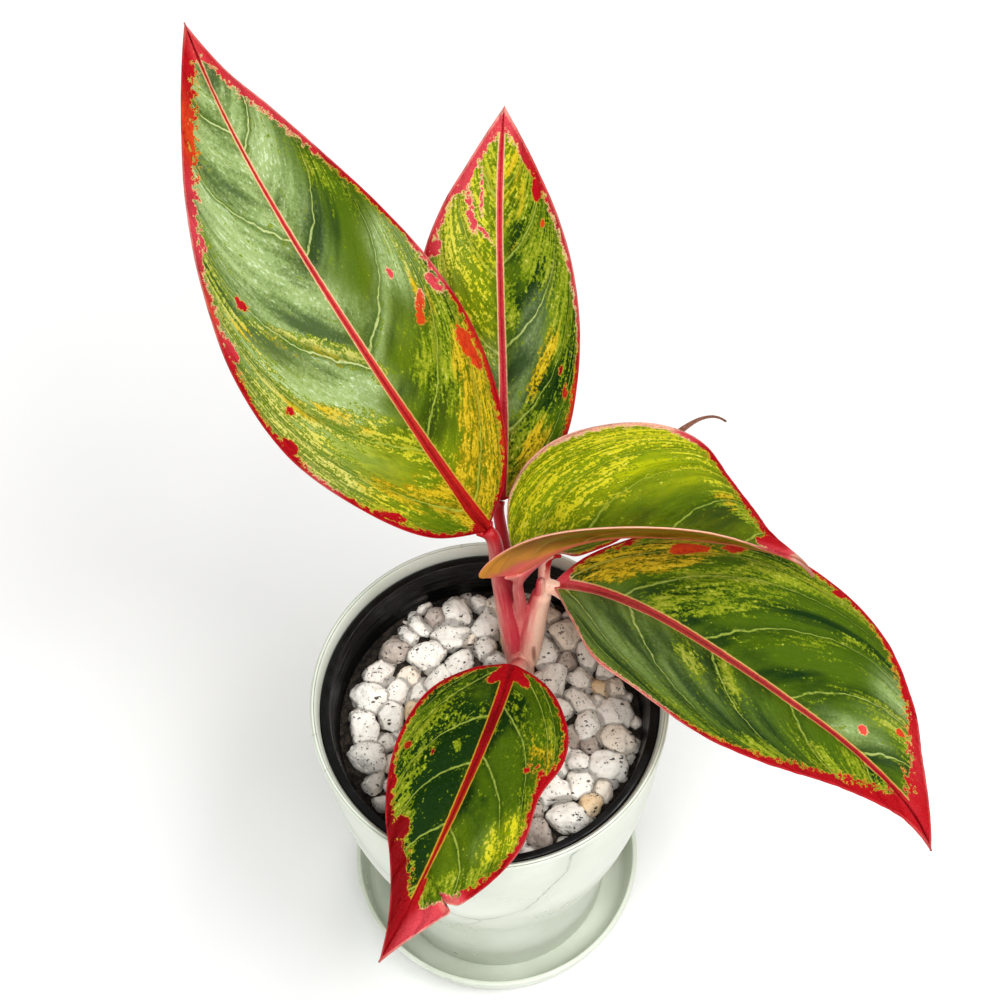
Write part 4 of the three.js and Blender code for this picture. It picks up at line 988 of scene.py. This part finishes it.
def stem():
    branches = {name: branch_path(name) for name in BRANCH_TONES}
    verts, faces = [], []
    for points, radii in [*branches.values(), *flares()]:
        join(verts, faces, *tube(points, radii))
    piece = mesh_object("stem_skin", verts, faces)
    skin = piece.modifiers.new("skin", "REMESH")
    skin.mode = "VOXEL"
    skin.voxel_size = SKIN_VOXEL * MM
    soft = piece.modifiers.new("soft", "SMOOTH")
    soft.factor = 0.5
    soft.iterations = SKIN_SMOOTHINGS
    applied(piece)

    at = vertices(piece)
    scars = np.zeros(len(at))
    for x, y in SCARS:
        off = np.hypot((at[:, 0] - x) / 0.6, (at[:, 1] - y) / 1.3)
        scars = np.maximum(scars, np.clip(1.6 - off, 0, 1) * (np.abs(at[:, 2] - SCARS_Z) < 4))
    best = np.full(len(at), 1e9)
    marks = np.zeros((len(at), 5))
    for number, (name, (points, radii)) in enumerate(branches.items()):
        gaps = np.linalg.norm(at[:, None] - points[None], axis=2) - radii[None]
        near = gaps.argmin(axis=1)
        closer = gaps.min(axis=1) < best
        best = np.minimum(gaps.min(axis=1), best)
        ahead = unit(np.gradient(points, axis=0))[near]
        away = at - points[near]
        away -= (away * ahead).sum(axis=1, keepdims=True) * ahead
        around = np.arctan2(away[:, 1], away[:, 0])
        pale, dark, reddens, lean = BRANCH_TONES[name]
        run = run_of(points)
        end = 1 - (run[-1] - run[near]) / reddens if reddens else np.zeros(len(at))
        if name == "leaf_behind":
            end = end * (np.cos(around) > 0.1) * 1.6
        # painted light and shade: each branch paler on its lit side and darker red on its shaded side
        lean = lean * np.cos(around - PAINTED_LIGHT_SIDE)
        columns = (run[near] + 60 * number, around * 3.2,
                   pale + lean, dark - np.minimum(lean, 0), np.clip(end, 0, 1))
        marks[closer] = np.stack(columns, axis=1)[closer]
    run, around, pale, dark, end = marks.T
    store(piece, "flow", run, around, scars)
    store(piece, "tint", pale, dark, end)
    settle(piece, "stem", "stem", stem_material())


# Pumice, laid as in the CAD, in mm
PUMICE_SEED = 20
PUMICE_COUNT = 92
PUMICE_SHAKES = 60
PUMICE_LARGEST = 7.6
PUMICE_SMALLEST = 4.2
PUMICE_SPACING = 0.84
PUMICE_REACH = 49
PUMICE_BED_Z = 130
PUMICE_TOP_Z = 134
PUMICE_CUTS = 7

# The visible chips against those of the CAD
STONE_SWELL = 0.95

# How near to another chip the painted shade of the crevices begins, and how far its middle can be
CREVICE = 2.4
CREVICE_REACH = 17

# The draws for the chips' colours, and for the small chips between the others, which the CAD lacks
KIND_SEED = 7
SMALL_COUNT = 150
SMALL_CUTS = [((1, 0, 0), 0.8), ((0, 0.8, 0.6), 0.85), ((-0.6, 0, 0.8), 0.8)]

# Faces across each side of a large and a small chip, and how close the pits are
LARGE_FACES = 16
SMALL_FACES = 7
PITS = 3.2


def random_from(seed):
    """The same seeded draws as in the CAD."""
    state = seed
    while True:
        state = (state + 0x6D2B79F5) & 0xFFFFFFFF
        t = ((state ^ (state >> 15)) * (1 | state)) & 0xFFFFFFFF
        t = ((t + (((t ^ (t >> 7)) * (61 | t)) & 0xFFFFFFFF)) & 0xFFFFFFFF) ^ t
        yield (t ^ (t >> 14)) / 4294967296


def scattered(draw, reach):
    """A place within reach of the pot's axis."""
    away = math.sqrt(next(draw)) * reach
    angle = next(draw) * 2 * math.pi
    return {"x": away * math.cos(angle), "y": away * math.sin(angle)}


def push_off(stone, x, y, distance, share):
    dx, dy = stone["x"] - x, stone["y"] - y
    now = math.hypot(dx, dy)
    if 0 < now < distance:
        step = share * (distance - now) / now
        stone["x"] += dx * step
        stone["y"] += dy * step


def shake(stones):
    for stone in stones:
        for other in stones:
            if other is not stone:
                push_off(stone, other["x"], other["y"], PUMICE_SPACING * (stone["size"] + other["size"]), 0.5)
        push_off(stone, *STEM_AT, STEM_RADIUS + 0.8 * stone["size"], 1)
        away = math.hypot(stone["x"], stone["y"])
        inside = min(1, (PUMICE_REACH - stone["size"]) / away)
        stone["x"] *= inside
        stone["y"] *= inside


def cut(draw):
    """A flat side of a chip: the way that it faces, and how far out it lies."""
    height = 2 * next(draw) - 1
    around = next(draw) * 2 * math.pi
    flat = math.sqrt(1 - height * height)
    return (flat * math.cos(around), flat * math.sin(around), height), 0.66 + 0.22 * next(draw)


def pumice_stones():
    draw = random_from(PUMICE_SEED)
    stones = []
    for _ in range(PUMICE_COUNT):
        size = PUMICE_SMALLEST + (PUMICE_LARGEST - PUMICE_SMALLEST) * next(draw) ** 1.4
        stones.append(dict(scattered(draw, PUMICE_REACH), size=size))
    for _ in range(PUMICE_SHAKES):
        shake(stones)
    for stone in stones:
        stone.update(
            lift=-0.8 + 2 * next(draw), turn=next(draw) * 2 * math.pi, tilt=(next(draw) - 0.5) * 0.7,
            long=1.05 + 0.25 * next(draw), high=0.62 + 0.2 * next(draw),
            cuts=[cut(draw) for _ in range(PUMICE_CUTS)])
    return stones


def small_stones(draw):
    """Small chips, lower in the bed, with their own draws of colour."""
    small = []
    for _ in range(SMALL_COUNT):
        stone = dict(
            scattered(draw, PUMICE_REACH + 1), size=2.4 + 2 * next(draw), lift=-2.2 + 1.8 * next(draw),
            turn=next(draw) * 6.28, tilt=next(draw) - 0.5, long=1.2, high=0.85, cuts=SMALL_CUTS,
            kind=(0.2 * next(draw), 0.35 * next(draw) ** 2))
        push_off(stone, *STEM_AT, STEM_RADIUS + stone["size"], 1)
        small.append(stone)
    return small


def ball(n):
    """Directions and quads of a cube of n by n faces a side, blown up to a ball."""
    points, faces, seen = [], [], {}

    def corner(p):
        if p not in seen:
            seen[p] = len(points)
            points.append([math.tan((c / n * 2 - 1) * math.pi / 4) for c in p])
        return seen[p]

    for axis in range(3):
        for side in (0, n):
            for i in range(n):
                for j in range(n):
                    quad = []
                    for a, b in ((i, j), (i + 1, j), (i + 1, j + 1), (i, j + 1)):
                        p = [0, 0, 0]
                        p[axis], p[(axis + 1) % 3], p[(axis + 2) % 3] = side, a, b
                        quad.append(corner(tuple(p)))
                    faces.append(tuple(quad if side else quad[::-1]))
    return unit(np.array(points)), faces


def stone_skin(ways, stone, seed, pits):
    """A rounded, knobbly and pitted chip: radius for each direction, then stretched and laid down."""
    normals = np.array([c[0] for c in stone["cuts"]])
    depths = np.array([c[1] for c in stone["cuts"]])
    facing = depths[None] / np.maximum(ways @ normals.T, 1e-3)
    facing = np.concatenate([np.ones((len(ways), 1)), facing], axis=1)
    radius = (facing**-9).sum(axis=1) ** (-1 / 9)
    offset = Vector((seed * 3.7, seed * 1.3, 0))
    lumps = np.empty(len(ways))
    for i, way in enumerate(ways):
        v = Vector(way) + offset
        lumps[i] = 0.12 * noise.noise(v * 1.6) + 0.08 * noise.noise(v * 3.4) + 0.045 * noise.noise(v * 8)
        if pits:
            near = noise.voronoi(v * pits)[0][0]
            lumps[i] -= 0.07 * max(0.0, 1 - near / 0.3)
    skin = ways * (radius * (STONE_SWELL + lumps))[:, None]
    skin *= np.array([stone["size"] * stone["long"], stone["size"] * 0.92, stone["size"] * stone["high"]])
    c, s = math.cos(stone["tilt"]), math.sin(stone["tilt"])
    tilted = skin @ np.array([[1, 0, 0], [0, c, s], [0, -s, c]])
    c, s = math.cos(stone["turn"]), math.sin(stone["turn"])
    turned = tilted @ np.array([[c, s, 0], [-s, c, 0], [0, 0, 1]])
    return turned + np.array([stone["x"], stone["y"], PUMICE_BED_Z + stone["lift"]])


def crevice(skin, stone, others):
    """How close each point of a stone is to a neighbouring stone, for the painted shade of the crevices: 1
    where they touch.
    """
    dark = np.zeros(len(skin))
    for other in others:
        away = math.hypot(other["x"] - stone["x"], other["y"] - stone["y"])
        if other is stone or away > CREVICE_REACH:
            continue
        off = skin - np.array([other["x"], other["y"], PUMICE_BED_Z + other["lift"]])
        off[:, 2] /= other["high"]
        gap = np.linalg.norm(off, axis=1) - 0.95 * other["size"]
        dark = np.maximum(dark, np.clip(1 - gap / CREVICE, 0, 1))
    return dark


def pumice_material():
    """'grain' holds the place on the chip in mm; 'kind' how beige and how brown the chip is; 'depth'
    the mm below the top of the bed, and how near another chip is, which both darken the chip as painted
    shade."""
    m = Material("pumice", 0.85)
    mix, ramp = m.mix, m.ramp
    local = m.attribute("grain")[0]
    _, beige, brown, _ = m.attribute("kind")
    _, depth, dark, _ = m.attribute("depth")
    cloud = m.noise(local, 0.22, 4, 0.65)
    speck = m.noise(local, 1.2, 3, 0.7)
    colour = mix(ramp(cloud, 0.3, 0.7), (240, 238, 230), (254, 254, 250))
    colour = mix(ramp(speck, 0.5, 0.75, 0, 0.35), colour, (190, 178, 160))
    colour = mix(beige * ramp(cloud, 0.3, 0.6, 0.6, 1), colour, (232, 200, 152))
    colour = mix(brown * ramp(cloud, 0.25, 0.65, 0.55, 0.95), colour, (140, 118, 104))
    wobble = {0: m.noise(local, 0.8, output=1), 1: (1.6, 1.6, 1.6), 2: local}
    warped = m.node("ShaderNodeVectorMath", wobble, operation="MULTIPLY_ADD")[0]
    large = m.cells(m.stretch(warped, (0.6, 1.4, 1)), 0.46)
    small = m.cells(m.stretch(warped, (1, 1, 1), (3, 7, 1)), 0.95)
    large = ramp(large, 0.18, 0.26, 1, 0) * ramp(m.noise(local, 0.25), 0.46, 0.58)
    small = ramp(small, 0.18, 0.28, 1, 0) * ramp(m.noise(local, 0.4), 0.48, 0.58)
    holes = combine("MAXIMUM", large, small * 0.85)
    # painted shade: darker lower in the bed and in the crevices where chips touch
    shade = combine("MAXIMUM", ramp(depth, 3, 6.5, 0, 0.95), ramp(dark, 0.6, 1, 0, 0.5))
    colour = mix(shade, colour, (58, 46, 34))
    # painted shade in the pits
    colour = mix(holes * 0.92, colour, (46, 38, 30))
    return m.done(colour, m.bump(speck * 0.4 - holes * 1.4, 0.0005, 0.8))


def crumbly(name, scale, detail, dark, light, relief):
    m = Material(name, 0.95)
    crumb = m.noise(m.place(), scale, detail, 0.7)
    return m.done(m.mix(m.ramp(crumb, 0.35, 0.7), dark, light), m.bump(crumb, relief))


def heap(name, laid, fineness, pits, material, others):
    """One piece from all the chips laid, which are (seed, stone)."""
    ways, ball_faces = ball(fineness)
    verts, faces, grain, kinds, dark = [], [], [], [], []
    for seed, stone in laid:
        skin = stone_skin(ways, stone, seed, pits)
        join(verts, faces, skin, ball_faces)
        # how close the neighbouring chips are, for the painted shade of the crevices
        dark += list(crevice(skin, stone, others))
        middle = np.array([stone["x"], stone["y"], PUMICE_BED_Z])
        grain += list(skin - middle + np.array([seed * 17.0, seed * 5.0, 0]))
        kinds += [stone["kind"]] * len(skin)
    piece = mesh_object(name, verts, faces)
    store(piece, "grain", *np.transpose(grain))
    store(piece, "kind", *np.transpose(kinds))
    store(piece, "depth", PUMICE_TOP_Z - np.array(verts)[:, 2], dark)
    settle(piece, "pumice", "pumice", material)


def pumice():
    stones = pumice_stones()
    draw = random_from(KIND_SEED)
    for stone in stones:
        pick = next(draw)
        beige = 0.9 if pick < 0.05 else 0.35 if pick < 0.2 else 0.08
        brown = 0.8 if pick > 0.96 else 0.18 if pick > 0.86 else 0.0
        stone["kind"] = (beige, brown)
    material = pumice_material()
    numbered = list(enumerate(stones, 1))
    half = len(numbered) // 2
    heap("pumice_large_a", numbered[:half], LARGE_FACES, PITS, material, stones)
    heap("pumice_large_b", numbered[half:], LARGE_FACES, PITS, material, stones)
    heap("pumice_small", enumerate(small_stones(draw), 200), SMALL_FACES, 0, material, stones)
    # a dark disc under the chips: painted shade for the gaps between them
    bed = lathe("pumice_bed", [(0, 122.4), (50.9, 122.4), (51.6, 129.4), (0, 129.4)], 96)
    shade_bed = crumbly("pumice_bed", 420, 4, (26, 21, 17), (92, 80, 68), 0.001)
    settle(bed, "pumice", "pumice", shade_bed)


# Pots and saucer, as in the CAD, in mm
POT_HEIGHT = 150
POT_TOP_RADIUS = 58.3
RIM_RADIUS = 59.5
RIM_DEPTH = 3
POT_WALL = 1.8
SHOULDER_Z = 56
SHOULDER_RADIUS = 45.2
FOOT_TOP_RADIUS = 42.2
FOOT_BASE_RADIUS = 38.9
FOOT_Z = 3.3
POT_FLOOR_Z = 50
DRAIN_RADIUS = 5
GROWER_RIM_Z = 146
GROWER_RIM_RADIUS = 56
GROWER_BASE_RADIUS = 39.5
GROWER_WALL = 1.4
GROWER_DRAIN_RADIUS = 4

LATHE_SIDES = 168

# Veins drawn on the outer pot: strength, then points (degrees about the axis, height). A scratch
# script worked out the first twelve points of the first one from points read off the photo.
SEAMS = [
    (1.0, [(-62, 144.6), (-64.5, 143.6), (-65.8, 137.8), (-66, 131), (-68.4, 124.7), (-73.4, 113.2),
           (-78.4, 102.3), (-81.9, 96.1), (-89.2, 89.7), (-96.7, 85.4), (-104.2, 86), (-108.5, 90.2),
           (-118, 99), (-131, 104), (-146, 121), (-158, 137)]),
    (0.6, [(-96.7, 85.4), (-99, 76), (-106, 66), (-109, 57)]),
    (0.8, [(12, 147), (16, 133), (30, 118), (37, 101), (52, 92), (60, 74), (66, 57)]),
    (0.5, [(30, 118), (22, 104), (8, 97), (-6, 83), (-14, 60)]),
    (0.7, [(100, 146), (108, 126), (124, 117), (131, 98), (150, 88), (163, 70), (170, 57)]),
    (0.5, [(131, 98), (118, 84), (112, 63)]),
    (0.6, [(-172, 147), (-178, 128), (-190, 112), (-197, 88)]),
]

# The seam of a point that is far from every vein
NO_SEAM = 40.0


def pot_radius(z):
    rise = (z - SHOULDER_Z) / (POT_HEIGHT - SHOULDER_Z)
    return SHOULDER_RADIUS + (POT_TOP_RADIUS - SHOULDER_RADIUS) * (1 - (1 - rise) ** 2)


def wall(inward, heights):
    return [(pot_radius(z) - inward, z) for z in heights]


def rounded(corners):
    """Profile with its corners rounded off. A corner is (r, z) or (r, z, size of the rounding)."""
    line = []
    for i, (r, z, *size) in enumerate(corners):
        here = np.array([r, z], float)
        if size:
            back = unit(np.array(corners[i - 1][:2], float) - here)
            on = unit(np.array(corners[(i + 1) % len(corners)][:2], float) - here)
            line += [arc(here + back * size[0], here, here + on * size[0], t) for t in np.linspace(0, 1, 6)]
        else:
            line.append(here)
    return line


def lathe(name, corners, sides=LATHE_SIDES):
    """A closed profile spun about the pot's axis. A corner at radius 0 is one vertex."""
    verts, rings = [], []
    for r, z in rounded(corners):
        ring = [(r * math.cos(a), r * math.sin(a), z) for a in circle(sides)] if r > 0 else [(0, 0, z)]
        rings.append(list(range(len(verts), len(verts) + len(ring))))
        verts += ring
    faces = []
    for ring, other in zip(rings, rings[1:] + rings[:1]):
        if len(ring) == 1 and len(other) == 1:
            continue
        for j in range(sides):
            k = (j + 1) % sides
            if len(ring) == 1:
                faces.append((ring[0], other[k], other[j]))
            elif len(other) == 1:
                faces.append((ring[j], ring[k], other[0]))
            else:
                faces.append((ring[j], ring[k], other[k], other[j]))
    return mesh_object(name, verts, faces)


def marble():
    """Pale, cloudy marble. 'seam' holds how close the nearest drawn vein is and how strong it is."""
    m = Material("marble", 0.3, Specular_IOR_Level=0.5)
    mix, ramp = m.mix, m.ramp
    place = m.place()
    cloud = m.noise(place, 22, 4, 0.6)
    _, gap, strength, _ = m.attribute("seam")
    wander = (m.noise(place, 70) - 0.5) * 5
    shiver = (m.noise(place, 260, 3, 0.6) - 0.5) * 1.8
    gap = abs(gap + (wander + shiver))
    line = ramp(gap, 0, 0.8, 1, 0) * strength * ramp(m.noise(place, 55), 0.32, 0.6, 0.35, 1)
    soft = ramp(gap, 0, 8, 1, 0) * strength * ramp(cloud, 0.3, 0.6)
    colour = mix(ramp(cloud, 0.35, 0.7), (206, 212, 198), (220, 225, 214))
    colour = mix(soft * 0.4, colour, (180, 186, 174))
    colour = mix(line * 0.7, colour, (128, 133, 119))
    return m.done(colour, m.bump(m.noise(place, 500), 0.0001, 0.15), ramp(cloud, 0.3, 0.7, 0.26, 0.34))


def mark_seams(piece):
    """Stores for each point of the pot how far it is from the nearest vein, below 0 on one side."""
    at = vertices(piece)
    angle = np.degrees(np.arctan2(at[:, 1], at[:, 0]))
    gap = np.full(len(at), NO_SEAM)
    strength = np.zeros(len(at))
    for amount, points in SEAMS:
        points = spline(points, np.linspace(0, 1, 8 * len(points)))
        middle = (points[:, 0].min() + points[:, 0].max()) / 2
        turn = (angle - middle + 180) % 360 - 180 + middle
        here = np.stack([turn, at[:, 2]], axis=1)
        for a, b in zip(points, points[1:]):
            along = b - a
            t = np.clip(((here - a) @ along) / (along @ along), 0, 1)
            away = here - (a + t[:, None] * along)
            away[:, 0] *= math.radians(50)
            side = np.sign(away[:, 0] * along[1] - away[:, 1] * along[0] + 1e-9)
            far = np.hypot(away[:, 0], away[:, 1])
            closer = far < np.abs(gap)
            gap = np.where(closer, side * far, gap)
            strength = np.where(closer, amount, strength)
    outside = pot_radius(np.clip(at[:, 2], SHOULDER_Z, POT_HEIGHT)) - 0.5
    strength *= np.hypot(at[:, 0], at[:, 1]) > outside
    store(piece, "seam", gap, strength)


def outer_pot(stone):
    lip = POT_HEIGHT - RIM_DEPTH
    piece = lathe("outer_pot_body", [
        (DRAIN_RADIUS, POT_FLOOR_Z - POT_WALL, 0.4),
        (FOOT_TOP_RADIUS - POT_WALL, POT_FLOOR_Z - POT_WALL, 1),
        (FOOT_BASE_RADIUS - POT_WALL, FOOT_Z, 0.5),
        (FOOT_BASE_RADIUS, FOOT_Z, 0.7),
        (FOOT_TOP_RADIUS, SHOULDER_Z - 1, 0.7),
        (SHOULDER_RADIUS - 1, SHOULDER_Z - 0.6, 0.5),
        *wall(0, np.linspace(SHOULDER_Z + 1, lip, 34)),
        (RIM_RADIUS, lip + 0.6, 0.5),
        (RIM_RADIUS, POT_HEIGHT - 0.4, 0.7),
        (RIM_RADIUS - 1, POT_HEIGHT, 0.6),
        (POT_TOP_RADIUS - POT_WALL + 1.2, POT_HEIGHT, 0.5),
        *wall(POT_WALL, np.linspace(SHOULDER_Z, lip, 24)[::-1]),
        (FOOT_TOP_RADIUS - POT_WALL, POT_FLOOR_Z, 1),
        (DRAIN_RADIUS, POT_FLOOR_Z, 0.4),
    ])
    mark_seams(piece)
    settle(piece, "pot", "outer_pot", stone)


def saucer(stone):
    piece = lathe("saucer_body", [
        (0, 0), (43.5, 0), (45.4, 0.4, 0.5), (47.6, 1.3, 0.7), (50.7, 15, 0.6), (51.4, 15.8, 0.4),
        (51.3, 17, 0.5), (49.8, 17, 0.5), (49.3, 15.4, 0.6), (46.9, 4.4, 0.8), (45.2, 3, 0.8),
        (41, 3), (20, 3), (0, 3),
    ])
    store(piece, "seam", NO_SEAM)
    settle(piece, "saucer", "saucer", stone)


def black_plastic():
    m = Material("black_plastic", 0.32, Specular_IOR_Level=0.35)
    place = m.place()
    # lighter grey in random patches, which are also rougher
    grey_mottle = m.noise(place, 90, 4, 0.7)
    rings = m.noise(m.stretch(place, (6, 6, 60)), 6, 3)
    colour = m.mix(m.ramp(grey_mottle, 0.5, 0.75), (8, 9, 9), (24, 26, 25))
    return m.done(colour, m.bump(rings, 0.004, 0.35), m.ramp(grey_mottle, 0.3, 0.7, 0.24, 0.46))


def grower_pot():
    base = POT_FLOOR_Z + 0.3
    lip = GROWER_RIM_Z - 2.6
    lean = (GROWER_RIM_RADIUS - GROWER_WALL - GROWER_BASE_RADIUS) / (GROWER_RIM_Z - base)

    def radius(z):
        return GROWER_BASE_RADIUS + lean * (z - base)

    piece = lathe("grower_pot_body", [
        (0, base),
        (GROWER_BASE_RADIUS, base, 1),
        (radius(lip), lip, 0.3),
        (GROWER_RIM_RADIUS, lip + 0.4, 0.5),
        (GROWER_RIM_RADIUS, GROWER_RIM_Z - 0.3, 0.5),
        (GROWER_RIM_RADIUS - 0.8, GROWER_RIM_Z, 0.5),
        (radius(GROWER_RIM_Z) - GROWER_WALL, GROWER_RIM_Z, 0.4),
        *((radius(z) - GROWER_WALL, z) for z in np.linspace(GROWER_RIM_Z - 1, base + 3, 30)),
        (GROWER_BASE_RADIUS - GROWER_WALL, base + GROWER_WALL, 1),
        (0, base + GROWER_WALL),
    ])
    verts, faces = [], []
    for turn in range(0, 360, 60):
        a = math.radians(turn)
        x, y = (GROWER_BASE_RADIUS - 10) * math.cos(a), (GROWER_BASE_RADIUS - 10) * math.sin(a)
        path = np.array([[x, y, base - 3], [x, y, base + 5]])
        join(verts, faces, *tube(path, np.full(2, GROWER_DRAIN_RADIUS), 32))
    drills = mesh_object("drills", verts, faces)
    cut = piece.modifiers.new("cut", "BOOLEAN")
    cut.object = drills
    cut.operation = "DIFFERENCE"
    cut.solver = "EXACT"
    applied(piece)
    bpy.data.objects.remove(drills)
    piece.data.materials.clear()
    settle(piece, "grower_pot", "grower_pot", black_plastic())


def potting_mix():
    """The one node of the CAD that is shown itself."""
    soil = crumbly("soil", 260, 5, (40, 30, 22), (104, 82, 60), 0.0015)
    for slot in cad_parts["potting_mix"].material_slots:
        slot.material = soil


camera()
floor()
lights()
leaf_skins = (leaf_top(), leaf_under())
for leaf in BLADES:
    blade(leaf, leaf_skins)
stem()
pumice()
pale_stone = marble()
outer_pot(pale_stone)
saucer(pale_stone)
grower_pot()
potting_mix()
